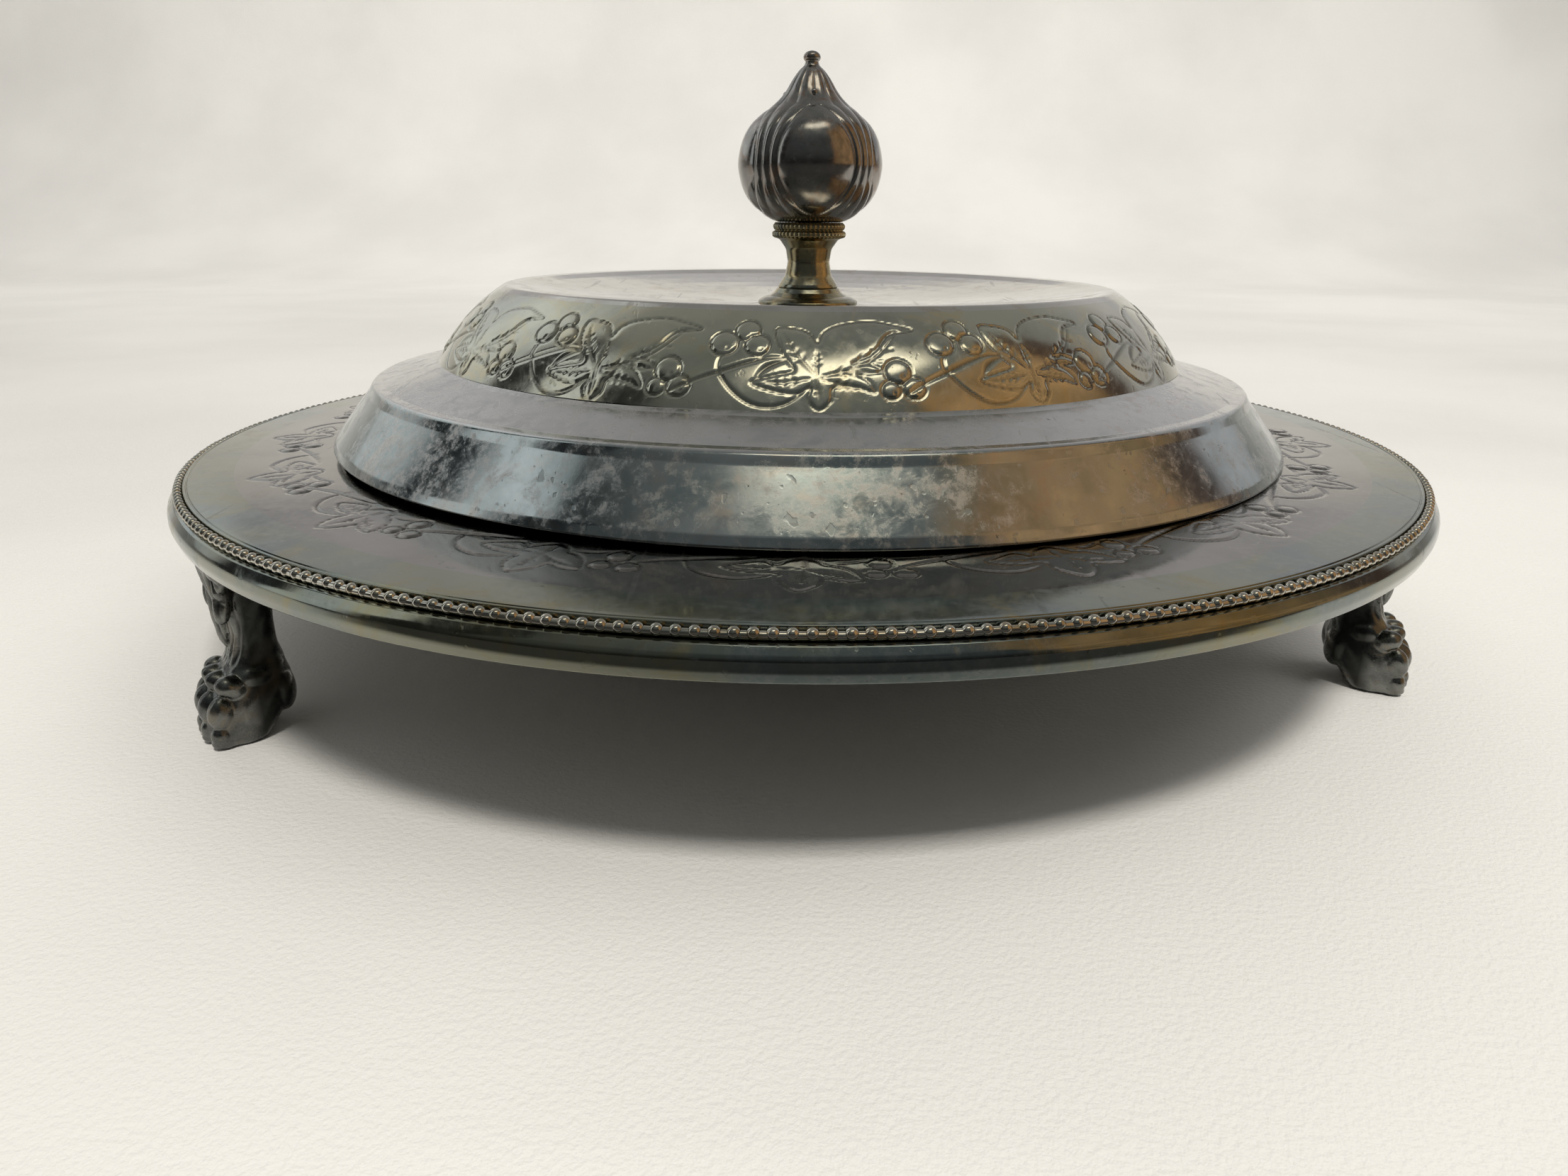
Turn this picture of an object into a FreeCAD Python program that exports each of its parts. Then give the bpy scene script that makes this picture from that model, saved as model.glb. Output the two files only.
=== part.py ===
import FreeCAD, Part
import math
import os

import Sketcher

# A low covered sugar dish in silver plate, standing on three cast paw feet.
# The frame: +Z up, the dish's axis is the Z axis, the feet stand on Z = 0,
# and -Y is the side that faces the table's edge. All sizes are millimetres.

# ---------------------------------------------------------------- sizes
# Every size that can be set by itself. The rest is worked out from these.
SIZES = {
    # dish: a spun flange with a turned-down edge and a bowl in its middle
    "rim_radius": 95.0,
    "sheet": 1.0,
    "apron_lift": 25.5,
    "apron_drop": 5.0,
    "apron_height": 3.7,
    "apron_bulge": 0.6,
    "rim_band": 2.7,
    "flange_rise": 0.9,
    "mouth_radius": 62.0,
    "bowl_depth": 17.0,
    "bowl_taper": 8.0,
    "bowl_corner": 9.0,
    "lip_round": 0.8,
    # the pressed ridge on the flange that keeps the lid in place
    "ridge_height": 1.6,
    "ridge_width": 2.4,
    "ridge_clearance": 1.3,
    # beaded wire soldered on the flange's shoulder
    "bead_radius": 0.75,
    "bead_inset": 1.65,
    "bead_seat": 0.1,
    # lid: a skirt outside the bowl's mouth, a ledge and a tier, dished on top
    "skirt_overlap": 12.7,
    "skirt_batter": 6.2,
    "skirt_height": 9.0,
    "shoulder_round": 1.2,
    "ledge_width": 9.6,
    "ledge_rise": 2.3,
    "tier_inset": 10.7,
    "tier_height": 11.25,
    "tier_curve": 30.0,
    "tier_round": 2.4,
    "top_dish": 3.7,
    "boss_radius": 10.0,
    "lid_wall": 0.9,
    "lid_seat_gap": 0.3,
    # glass liner in the bowl
    "liner_wall": 2.2,
    "liner_base": 2.6,
    "liner_clearance": 1.0,
    "liner_seat_gap": 0.3,
    "liner_below_lip": 1.5,
    "liner_rim_round": 0.9,
    # finial
    "finial_foot_radius": 8.0,
    "finial_foot_edge": 1.1,
    "finial_foot_height": 2.9,
    "neck_radius": 3.35,
    "neck_height": 7.4,
    "collar_radius": 5.8,
    "collar_height": 11.6,
    "ball_seat_height": 13.0,
    "ball_seat_radius": 5.4,
    "ball_radius": 11.1,
    "ball_middle": 8.2,
    "ball_shoulder": 15.8,
    "spire_radius": 1.1,
    "spire_height": 22.4,
    "tip_radius": 1.35,
    "stud_radius": 1.5,
    "stud_hole_clearance": 0.2,
    "stud_grip": 9.0,
    "stud_end": 0.8,
    "washer_radius": 6.0,
    "washer_thickness": 0.8,
    "nut_radius": 3.6,
    "nut_height": 2.4,
    # paw foot
    "foot_solder": 0.3,
    "plate_half_width": 9.0,
    "plate_inset": 1.8,
    "knee_depth": 7.7,
    "ankle_height": 13.0,
    "ankle_inset": 3.9,
    "ankle_half_width": 3.6,
    "knee_height": 20.5,
    "knee_half_width": 5.6,
    "paw_height": 9.0,
    "paw_half_width": 5.3,
    "toe_reach": 1.4,
    "toe_drop": 4.2,
    "heel_inset": 12.0,
    "heel_height": 6.0,
    "sole_inset": 8.6,
    "toe_radius": 1.7,
    "toe_pitch": 3.3,
}

# Where the feet stand, in degrees round the dish from +X towards +Y.
FEET = {"foot_front_left": 216.3, "foot_front_right": 336.3, "foot_rear": 96.3}
FULL_TURN = 360.0
EDGE_MATCH = 0.001


class Size:
    """A length that knows both its value and the sheet expression that gives it."""

    def __init__(self, text, value):
        self.text = text
        self.value = value

    def joined(self, sign, other, value):
        return Size(f"({self.text} {sign} {size_of(other).text})", value)

    def __add__(self, other):
        return self.joined("+", other, self.value + size_of(other).value)

    def __sub__(self, other):
        return self.joined("-", other, self.value - size_of(other).value)

    def __mul__(self, other):
        return self.joined("*", other, self.value * size_of(other).value)

    def __truediv__(self, other):
        return self.joined("/", other, self.value / size_of(other).value)

    def __neg__(self):
        return size_of(0.0) - self


def size_of(number):
    """A Size made of a plain number, or the Size itself."""
    if isinstance(number, Size):
        return number
    return Size(repr(float(number)), float(number))


ZERO = size_of(0.0)

document = FreeCAD.newDocument("covered_sugar_dish")
sheet = document.addObject("Spreadsheet::Sheet", "sizes")
named = {}
for row, (name, value) in enumerate(SIZES.items(), start=1):
    sheet.set(f"A{row}", name)
    sheet.set(f"B{row}", str(value))
    sheet.setAlias(f"B{row}", name)
    named[name] = Size(f"sizes.{name}", value)
document.recompute()


def sizes(*names):
    """The named sizes, in the order asked for."""
    return [named[name] for name in names]


# ---------------------------------------------------------------- building blocks
def new_body(label):
    body = document.addObject("PartDesign::Body", label)
    body.Label = label
    return body


def origin_plane(body, role):
    return next(f for f in body.Origin.OriginFeatures if f.Role == role)


def new_sketch(body, name, role="XZ_Plane"):
    sketch = body.newObject("Sketcher::SketchObject", name)
    sketch.AttachmentSupport = [(origin_plane(body, role), "")]
    sketch.MapMode = "FlatFace"
    return sketch


def bound(sketch, kind, *place, size):
    """Adds a dimension to a sketch and ties it to the sheet."""
    number = sketch.addConstraint(Sketcher.Constraint(kind, *place, size.value))
    sketch.setExpression(f"Constraints[{number}]", size.text)


def arc_through(start, end, radius):
    """The arc of that radius between two points, turning left if the radius is positive."""
    chord = end - start
    half = chord.Length / 2
    reach = math.sqrt(max(radius * radius - half * half, 0.0))
    left = FreeCAD.Vector(-chord.y, chord.x, 0).normalize()
    side = 1 if radius > 0 else -1
    centre = start + chord * 0.5 + left * (side * reach)
    first, last = (start, end) if radius > 0 else (end, start)
    angles = [math.atan2(p.y - centre.y, p.x - centre.x) for p in (first, last)]
    if angles[1] < angles[0]:
        angles[1] += 2 * math.pi
    circle = Part.Circle(centre, FreeCAD.Vector(0, 0, 1), abs(radius))
    return Part.ArcOfCircle(circle, angles[0], angles[1])


def outline(sketch, corners):
    """A closed outline. A corner is (across, up) or (across, up, radius): the radius
    bends the side from that corner to the next, to the left if it is positive."""
    points = [FreeCAD.Vector(c[0].value, c[1].value, 0) for c in corners]
    ends = []
    for i, corner in enumerate(corners):
        start, end = points[i], points[(i + 1) % len(points)]
        if len(corner) == 2:
            side = sketch.addGeometry(Part.LineSegment(start, end))
            ends.append(((side, 1), (side, 2)))
        else:
            radius = corner[2]
            side = sketch.addGeometry(arc_through(start, end, radius.value))
            forward = radius.value > 0
            ends.append(((side, 1), (side, 2)) if forward else ((side, 2), (side, 1)))
            size = radius if forward else -radius
            bound(sketch, "Radius", side, size=size)
    for i, corner in enumerate(corners):
        here = ends[i][0]
        before = ends[i - 1][1]
        sketch.addConstraint(Sketcher.Constraint("Coincident", *before, *here))
        if corner[0] is ZERO:
            sketch.addConstraint(Sketcher.Constraint("PointOnObject", *here, -2))
        else:
            bound(sketch, "DistanceX", -1, 1, *here, size=corner[0])
        if corner[1] is ZERO:
            sketch.addConstraint(Sketcher.Constraint("PointOnObject", *here, -1))
        else:
            bound(sketch, "DistanceY", -1, 1, *here, size=corner[1])


def turned(label, corners):
    """A body of revolution about Z from an outline in (radius, height)."""
    body = new_body(label)
    sketch = new_sketch(body, f"{label}_profile")
    outline(sketch, corners)
    turn = body.newObject("PartDesign::Revolution", f"{label}_turn")
    turn.Profile = sketch
    turn.ReferenceAxis = (sketch, ["V_Axis"])
    turn.Angle = FULL_TURN
    body.Tip = turn
    document.recompute()
    return body


def round_rings(body, name, radius, rings):
    """Fillets the circular edges that lie at those (radius, height) corners."""
    base = body.Tip
    edges = []
    for number, edge in enumerate(base.Shape.Edges, start=1):
        curve = edge.Curve
        if not isinstance(curve, Part.Circle):
            continue
        for across, up in rings:
            off = abs(curve.Radius - across.value) + abs(curve.Center.z - up.value)
            if off < EDGE_MATCH:
                edges.append(f"Edge{number}")
    if len(edges) != len(rings):
        raise RuntimeError(f"{name}: {len(edges)} edges found for {len(rings)} rings")
    fillet = body.newObject("PartDesign::Fillet", name)
    fillet.Base = (base, edges)
    fillet.Radius = radius.value
    fillet.setExpression("Radius", radius.text)
    body.Tip = fillet
    document.recompute()


# ---------------------------------------------------------------- dish
rim_radius, wall, apron_lift = sizes("rim_radius", "sheet", "apron_lift")
apron_drop, apron_height, apron_bulge = sizes("apron_drop", "apron_height", "apron_bulge")
rim_band, flange_rise, mouth_radius = sizes("rim_band", "flange_rise", "mouth_radius")
bowl_depth, bowl_taper, bowl_corner = sizes("bowl_depth", "bowl_taper", "bowl_corner")

flange_height = apron_lift + apron_drop
shoulder_radius = rim_radius - rim_band
flange_slope = flange_rise / (shoulder_radius - mouth_radius)
apron_top = apron_lift + apron_height
apron_face = rim_radius - apron_bulge
apron_half = apron_height / 2
apron_round = (apron_half * apron_half + apron_bulge * apron_bulge) / (apron_bulge * 2)
bowl_floor = flange_height - bowl_depth
bowl_radius = mouth_radius - bowl_taper


def flange_top(radius):
    """Height of the flange's upper face at that radius."""
    return flange_height + flange_slope * (shoulder_radius - radius)


skirt_overlap, lid_wall, ridge_clearance = sizes("skirt_overlap", "lid_wall", "ridge_clearance")
ridge_height, ridge_width, lip_round = sizes("ridge_height", "ridge_width", "lip_round")
skirt_radius = mouth_radius + skirt_overlap
ridge_outer = skirt_radius - lid_wall - ridge_clearance
ridge_crown = ridge_outer - ridge_width / 2
ridge_inner = ridge_outer - ridge_width
ridge_top = flange_top(ridge_crown) + ridge_height
mouth_height = flange_top(mouth_radius)

dish = turned(
    "dish_body",
    [
        (ZERO, bowl_floor),
        (bowl_radius, bowl_floor),
        (mouth_radius, mouth_height),
        (ridge_inner, flange_top(ridge_inner)),
        (ridge_crown, ridge_top),
        (ridge_outer, flange_top(ridge_outer)),
        (shoulder_radius, flange_height),
        (apron_face, apron_top, -apron_round),
        (apron_face, apron_lift),
        (apron_face - wall, apron_lift),
        (apron_face - wall, apron_top - wall),
        (shoulder_radius - wall / 2, flange_height - wall),
        (ridge_outer, flange_top(ridge_outer) - wall),
        (ridge_crown, ridge_top - wall),
        (ridge_inner, flange_top(ridge_inner) - wall),
        (mouth_radius + wall, mouth_height - wall),
        (bowl_radius + wall, bowl_floor - wall),
        (ZERO, bowl_floor - wall),
    ],
)
round_rings(dish, "bowl_corner_inside", bowl_corner, [(bowl_radius, bowl_floor)])
round_rings(
    dish,
    "bowl_corner_outside",
    bowl_corner + wall,
    [(bowl_radius + wall, bowl_floor - wall)],
)
round_rings(dish, "lip_rounding", lip_round, [(mouth_radius, mouth_height)])

# ---------------------------------------------------------------- beaded border
bead_radius, bead_inset, bead_seat = sizes("bead_radius", "bead_inset", "bead_seat")
shoulder_slope = (flange_height - apron_top) / (apron_face - shoulder_radius)
border_radius = rim_radius - bead_inset
border_height = flange_height - shoulder_slope * (border_radius - shoulder_radius) + bead_seat
border = document.addObject("Part::Torus", "bead_border")
border.Label = "bead_border"
border.setExpression("Radius1", border_radius.text)
border.setExpression("Radius2", bead_radius.text)
border.setExpression("Placement.Base.z", border_height.text)

# ---------------------------------------------------------------- paw feet
foot_solder, plate_half, plate_inset = sizes("foot_solder", "plate_half_width", "plate_inset")
knee_depth, knee_height, knee_half = sizes("knee_depth", "knee_height", "knee_half_width")
ankle_height, ankle_inset, ankle_half = sizes("ankle_height", "ankle_inset", "ankle_half_width")
paw_height, paw_half, toe_reach = sizes("paw_height", "paw_half_width", "toe_reach")
toe_drop, heel_inset, heel_height = sizes("toe_drop", "heel_inset", "heel_height")
sole_inset, toe_radius, toe_pitch = sizes("sole_inset", "toe_radius", "toe_pitch")

foot_top = flange_top(shoulder_radius) - wall + foot_solder
plate_front = rim_radius - plate_inset
ankle_front = rim_radius - ankle_inset
toe_front = rim_radius + toe_reach
TOE_ROWS = (-1.5, -0.5, 0.5, 1.5)


def cut_beside(sketch, side):
    """The metal taken away beside the leg, on the side +1 or -1."""

    def at(half_width, height):
        return (half_width if side > 0 else -half_width, height)

    outside = plate_half + 2
    outline(
        sketch,
        [
            at(outside, size_of(-1)),
            at(outside, apron_lift - 1),
            at(plate_half, apron_lift - 1),
            at(knee_half, knee_height),
            at(ankle_half, ankle_height),
            at(paw_half, paw_height),
            at(paw_half, size_of(-1)),
        ],
    )


def paw_foot(label, azimuth):
    """A cast foot, made along +X and then turned to its place round the dish."""
    body = new_body(label)
    side_view = new_sketch(body, f"{label}_side")
    outline(
        side_view,
        [
            (rim_radius - sole_inset, ZERO),
            (toe_front - toe_radius, ZERO),
            (toe_front, toe_drop / 2),
            (toe_front - toe_radius / 2, toe_drop * 1.5),
            (ankle_front + toe_radius, paw_height),
            (ankle_front, ankle_height),
            (plate_front - toe_radius / 2, knee_height),
            (plate_front, apron_lift),
            (shoulder_radius - wall / 2, foot_top),
            (plate_front - knee_depth, foot_top),
            (plate_front - knee_depth, ankle_height),
            (rim_radius - heel_inset, heel_height),
        ],
    )
    leg = body.newObject("PartDesign::Pad", f"{label}_leg")
    leg.Profile = side_view
    leg.Midplane = True
    leg.Length = plate_half.value * 2
    leg.setExpression("Length", (plate_half * 2).text)
    body.Tip = leg
    document.recompute()
    blank = body.Shape.Volume
    for side in (1, -1):
        front_view = new_sketch(body, f"{label}_front_{side + 1}", "YZ_Plane")
        cut_beside(front_view, side)
        cut = body.newObject("PartDesign::Pocket", f"{label}_cut_{side + 1}")
        cut.Profile = front_view
        cut.Type = "ThroughAll"
        cut.Reversed = True
        body.Tip = cut
        document.recompute()
        if body.Shape.Volume >= blank - 1:
            raise RuntimeError(f"{cut.Name} cuts nothing")
        blank = body.Shape.Volume
    for number, place in enumerate(TOE_ROWS):
        toe = body.newObject("PartDesign::AdditiveSphere", f"{label}_toe_{number}")
        toe.AttachmentSupport = [(origin_plane(body, "XY_Plane"), "")]
        toe.MapMode = "FlatFace"
        toe.setExpression("Radius", toe_radius.text)
        toe.setExpression("AttachmentOffset.Base.x", (toe_front - toe_radius).text)
        toe.setExpression("AttachmentOffset.Base.y", (toe_pitch * place).text)
        toe.setExpression("AttachmentOffset.Base.z", (toe_drop + 1).text)
        body.Tip = toe
        document.recompute()
    turn = FreeCAD.Rotation(FreeCAD.Vector(0, 0, 1), azimuth)
    body.Placement = FreeCAD.Placement(FreeCAD.Vector(0, 0, 0), turn)
    return body


feet = [paw_foot(label, azimuth) for label, azimuth in FEET.items()]

# ---------------------------------------------------------------- glass liner
liner_wall, liner_base, liner_gap = sizes("liner_wall", "liner_base", "liner_clearance")
liner_seat, liner_low, liner_round = sizes("liner_seat_gap", "liner_below_lip", "liner_rim_round")
bowl_slope = bowl_taper / (mouth_height - bowl_floor)
liner_bottom = bowl_floor + liner_seat
liner_top = mouth_height - liner_low
liner_foot = bowl_radius - liner_gap
liner_rim = liner_foot + bowl_slope * (liner_top - liner_bottom)
liner_floor = liner_bottom + liner_base
liner = turned(
    "glass_liner",
    [
        (ZERO, liner_bottom),
        (liner_foot, liner_bottom),
        (liner_rim, liner_top),
        (liner_rim - liner_wall, liner_top),
        (liner_foot - liner_wall, liner_floor),
        (ZERO, liner_floor),
    ],
)
round_rings(liner, "liner_foot_rounding", bowl_corner, [(liner_foot, liner_bottom)])
round_rings(
    liner,
    "liner_floor_rounding",
    bowl_corner - liner_wall,
    [(liner_foot - liner_wall, liner_floor)],
)
round_rings(
    liner,
    "liner_rim_rounding",
    liner_round,
    [(liner_rim, liner_top), (liner_rim - liner_wall, liner_top)],
)

# ---------------------------------------------------------------- lid
lid_gap, skirt_batter, skirt_height = sizes("lid_seat_gap", "skirt_batter", "skirt_height")
shoulder_round, ledge_rise, ledge_width = sizes("shoulder_round", "ledge_rise", "ledge_width")
tier_inset, tier_height, tier_curve = sizes("tier_inset", "tier_height", "tier_curve")
tier_round, top_dish, boss_radius = sizes("tier_round", "top_dish", "boss_radius")
stud_radius, hole_clearance = sizes("stud_radius", "stud_hole_clearance")

lid_bottom = flange_top(skirt_radius - lid_wall) + lid_gap
lid_shoulder = skirt_radius - skirt_batter
shoulder_height = lid_bottom + skirt_height
ledge_height = shoulder_height + ledge_rise
tier_radius = lid_shoulder - ledge_width
top_radius = tier_radius - tier_inset
top_height = ledge_height + tier_height
boss_height = top_height - top_dish
dish_run = top_radius - boss_radius
dish_curve = (dish_run * dish_run + top_dish * top_dish) / (top_dish * 2)
hole_radius = stud_radius + hole_clearance

lid = turned(
    "lid_shell",
    [
        (skirt_radius, lid_bottom),
        (lid_shoulder, shoulder_height),
        (tier_radius, ledge_height, tier_curve),
        (top_radius, top_height, -dish_curve),
        (boss_radius, boss_height),
        (hole_radius, boss_height),
        (hole_radius, boss_height - lid_wall),
        (boss_radius, boss_height - lid_wall, dish_curve),
        (top_radius - lid_wall, top_height - lid_wall, -tier_curve),
        (tier_radius - lid_wall, ledge_height - lid_wall),
        (lid_shoulder - lid_wall, shoulder_height - lid_wall),
        (skirt_radius - lid_wall, lid_bottom),
    ],
)
round_rings(lid, "shoulder_rounding", shoulder_round, [(lid_shoulder, shoulder_height)])
round_rings(lid, "tier_rounding", tier_round, [(top_radius, top_height)])

# ---------------------------------------------------------------- finial
foot_radius, foot_edge, foot_rise = sizes(
    "finial_foot_radius", "finial_foot_edge", "finial_foot_height"
)
neck_radius, neck_height, collar_radius = sizes("neck_radius", "neck_height", "collar_radius")
collar_height, seat_height, seat_radius = sizes(
    "collar_height", "ball_seat_height", "ball_seat_radius"
)
ball_radius, ball_middle, ball_shoulder = sizes("ball_radius", "ball_middle", "ball_shoulder")
spire_radius, spire_height, tip_radius = sizes("spire_radius", "spire_height", "tip_radius")
stud_grip, stud_end, washer_radius = sizes("stud_grip", "stud_end", "washer_radius")
washer_thickness, nut_radius, nut_height = sizes("washer_thickness", "nut_radius", "nut_height")

foot_waist = neck_radius + (foot_radius - neck_radius) / 2.2
finial_foot = turned(
    "finial_foot",
    [
        (stud_radius, boss_height),
        (foot_radius, boss_height),
        (foot_radius, boss_height + foot_edge),
        (foot_waist, boss_height + foot_rise),
        (stud_radius, boss_height + foot_rise),
    ],
)

collar_low = boss_height + collar_height - 0.8
collar_top = boss_height + collar_height
stem_top = boss_height + seat_height
stem = turned(
    "finial_stem",
    [
        (stud_radius, boss_height + foot_rise),
        (foot_waist - 0.5, boss_height + foot_rise),
        (neck_radius, boss_height + neck_height),
        (neck_radius + 0.6, boss_height + neck_height + 2),
        (collar_radius - 0.4, collar_low),
        (collar_radius, collar_top),
        (seat_radius, stem_top),
        (stud_radius, stem_top),
    ],
)

ball_waist = stem_top + ball_middle
ball_neck = stem_top + ball_shoulder
spire_top = stem_top + spire_height
ball = turned(
    "finial_ball",
    [
        (ZERO, stem_top),
        (seat_radius, stem_top, ball_radius * 1.15),
        (ball_radius, ball_waist, ball_radius * 1.05),
        (ball_radius * 0.65, ball_neck, -ball_radius * 0.7),
        (spire_radius, spire_top),
        (tip_radius, spire_top + tip_radius, tip_radius),
        (ZERO, spire_top + tip_radius * 2),
    ],
)

nut_bottom = boss_height - lid_wall - washer_thickness - nut_height
stud_low = nut_bottom - stud_end
stud = document.addObject("Part::Cylinder", "finial_stud")
stud.Label = "finial_stud"
stud.setExpression("Radius", stud_radius.text)
stud.setExpression("Height", (boss_height + stud_grip - stud_low).text)
stud.setExpression("Placement.Base.z", stud_low.text)


def drilled(label, blank, bore_radius, bottom, height):
    """A blank with a hole down the axis, standing at that height."""
    hole = document.addObject("Part::Cylinder", f"{label}_hole")
    hole.setExpression("Radius", bore_radius.text)
    blank.setExpression("Placement.Base.z", bottom.text)
    for solid in (blank, hole):
        solid.setExpression("Height", height.text)
    hole.setExpression("Placement.Base.z", bottom.text)
    piece = document.addObject("Part::Cut", label)
    piece.Base = blank
    piece.Tool = hole
    piece.Label = label
    return piece


washer_blank = document.addObject("Part::Cylinder", "finial_washer_blank")
washer_blank.setExpression("Radius", washer_radius.text)
washer_bottom = boss_height - lid_wall - washer_thickness
washer = drilled(
    "finial_washer", washer_blank, hole_radius, washer_bottom, washer_thickness
)

nut_blank = document.addObject("Part::Prism", "finial_nut_blank")
nut_blank.Polygon = 6
nut_blank.setExpression("Circumradius", nut_radius.text)
nut = drilled("finial_nut", nut_blank, stud_radius, nut_bottom, nut_height)

# ---------------------------------------------------------------- export
pieces = [dish, border, *feet, liner, lid, finial_foot, stem, ball, stud, washer, nut]
document.recompute()
failed = [o.Name for o in document.Objects if {"Invalid", "Error"} & set(o.State)]
if failed:
    raise RuntimeError(f"these objects failed: {failed}")
os.makedirs("parts", exist_ok=True)
for piece in pieces:
    shape = piece.Shape
    if shape.isNull() or not shape.isValid() or len(shape.Solids) != 1:
        raise RuntimeError(f"{piece.Label} is not one valid solid")
for piece in pieces:
    piece.Shape.exportStep(f"parts/{piece.Label}.step")
    box = piece.Shape.BoundBox
    print(
        f"{piece.Label:18s} {box.XLength:7.2f} x {box.YLength:7.2f} x {box.ZLength:6.2f}"
        f"  z {box.ZMin:6.2f} to {box.ZMax:6.2f}  {piece.Shape.Volume / 1000:7.2f} cm3"
    )
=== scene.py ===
import math

import bmesh
import bpy
import numpy as np
from mathutils import Matrix, Vector


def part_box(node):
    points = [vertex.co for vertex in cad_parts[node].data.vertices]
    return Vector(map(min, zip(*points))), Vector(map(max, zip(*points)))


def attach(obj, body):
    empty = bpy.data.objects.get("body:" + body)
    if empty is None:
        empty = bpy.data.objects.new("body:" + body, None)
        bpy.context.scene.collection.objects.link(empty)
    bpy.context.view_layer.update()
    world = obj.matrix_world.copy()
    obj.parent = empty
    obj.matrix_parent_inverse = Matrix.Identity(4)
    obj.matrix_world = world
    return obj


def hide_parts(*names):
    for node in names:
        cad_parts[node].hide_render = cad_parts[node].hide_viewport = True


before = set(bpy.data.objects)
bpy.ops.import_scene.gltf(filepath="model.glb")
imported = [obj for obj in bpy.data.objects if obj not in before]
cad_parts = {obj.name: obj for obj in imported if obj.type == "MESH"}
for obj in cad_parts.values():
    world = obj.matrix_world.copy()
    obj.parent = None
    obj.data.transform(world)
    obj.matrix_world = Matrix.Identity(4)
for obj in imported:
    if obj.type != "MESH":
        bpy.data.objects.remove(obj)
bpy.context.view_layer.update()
RNG = np.random.default_rng(1880)
MM = 0.001
TURN = 2 * math.pi

# ---------------------------------------------------------------- sizes, in millimetres
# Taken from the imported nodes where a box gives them, and otherwise the CAD's driving dimensions.


def node_box(node):
    low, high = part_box(node)
    return np.array(low) / MM, np.array(high) / MM


LID_LOW, LID_HIGH = node_box("lid_shell")
BEAD_LOW, BEAD_HIGH = node_box("bead_border")
# Each foot's azimuth in degrees, anticlockwise from +X, and how far out its toes may reach.
FOOT_NODES = {"foot_front_left": 216.3, "foot_front_right": 336.3, "foot_rear": 96.3}
TOE_R = 96.35
RIM_R = node_box("dish_body")[1][0]      # widest part of the rolled apron
APRON_LOW = 25.5
APRON_R = RIM_R - 0.6
FLANGE_Z = 30.5                          # flange height at its engraved line
LINE_R = 92.3
FLANGE_SLOPE = 0.0297
SHEET = 1.0
MOUTH_R, BOWL_CORNER_R, BOWL_Z = 62.0, 54.0, 13.5
BEAD_R = 0.75
BEAD_RING_R = BEAD_HIGH[0] - BEAD_R
BEAD_Z = (BEAD_LOW[2] + BEAD_HIGH[2]) / 2
BEAD_COUNT = 344
SKIRT_R, SKIRT_Z = LID_HIGH[0], LID_LOW[2]
SHOULDER_R, SHOULDER_Z = SKIRT_R - 6.2, SKIRT_Z + 9.0
TIER_R, TIER_Z = SHOULDER_R - 9.6, SHOULDER_Z + 2.3
TIER_TOP_R, TIER_TOP_Z = TIER_R - 10.7, TIER_Z + 11.25
TIER_BOW = 30.0                          # radius of the tier's slight outward bow
LID_WALL = 0.9
BOSS_R, BOSS_Z = 10.0, TIER_TOP_Z - 3.7
RIDGE_R, RIDGE_HALF, RIDGE_RISE = SKIRT_R - 3.4, 1.2, 1.6
BAND_IN, BAND_OUT = 74.4, 86.6           # engraved ring on the flange, its inner edge under the skirt

# Points round the axis of each turned piece. The exporter thins a piece's STL above 200,000
# triangles: dish_rim and lid_skirt are a little over, and the others are under.
BAND_TURNS, RIM_TURNS, WELL_TURNS, WIRE_TURNS = 2000, 600, 512, 720
TIER_TURNS, SKIRT_TURNS, TOP_TURNS, INSIDE_TURNS = 1640, 740, 640, 400
BALL_TURNS, STEM_TURNS, BELL_TURNS = 720, 480, 360

# The lid sits a little off centre and tilted: its right front edge is on the flange.
LID_SHIFT = 1.1
LID_SLOPE_X, LID_SLOPE_Y = -0.0062, 0.0042
LID_RISE = 0.29


def flange_top(r):
    return FLANGE_Z + FLANGE_SLOPE * (LINE_R - r)


def fade(x, low, high, width):
    """1 between low and high, falling to 0 at both over the given width."""
    return np.clip((x - low) / width, 0, 1) * np.clip((high - x) / width, 0, 1)


def set_lid(points):
    """Moves points, in mm, from the CAD lid's place to the tilted lid's."""
    x, y, z = points[..., 0], points[..., 1], points[..., 2] - SKIRT_Z
    return np.stack([x - z * LID_SLOPE_X + LID_SHIFT, y - z * LID_SLOPE_Y,
                     z + x * LID_SLOPE_X + y * LID_SLOPE_Y + SKIRT_Z + LID_RISE], -1)


# ---------------------------------------------------------------- mesh helpers
ARC_STEPS = 8                            # straight pieces in each rounded corner
STRAIGHT = 1.55                          # half angle, in radians, above which a corner isn't rounded


def smooth_curve(points, steps=8, closed=False):
    """Catmull-Rom curve through given points."""
    p = np.array(points, float)
    if closed:
        p = np.vstack([p[-1:], p, p[:2]])
    else:
        p = np.vstack([2 * p[0] - p[1], p, 2 * p[-1] - p[-2]])
    t = np.linspace(0, 1, steps, endpoint=False)[:, None]
    out = []
    for a, b, c, d in zip(p[:-3], p[1:-2], p[2:-1], p[3:]):
        out.append(0.5 * (2 * b + (c - a) * t + (2 * a - 5 * b + 4 * c - d) * t**2
                          + (3 * b - a - 3 * c + d) * t**3))
    out = np.vstack(out)
    return out if closed else np.vstack([out, p[-2:-1]])


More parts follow.
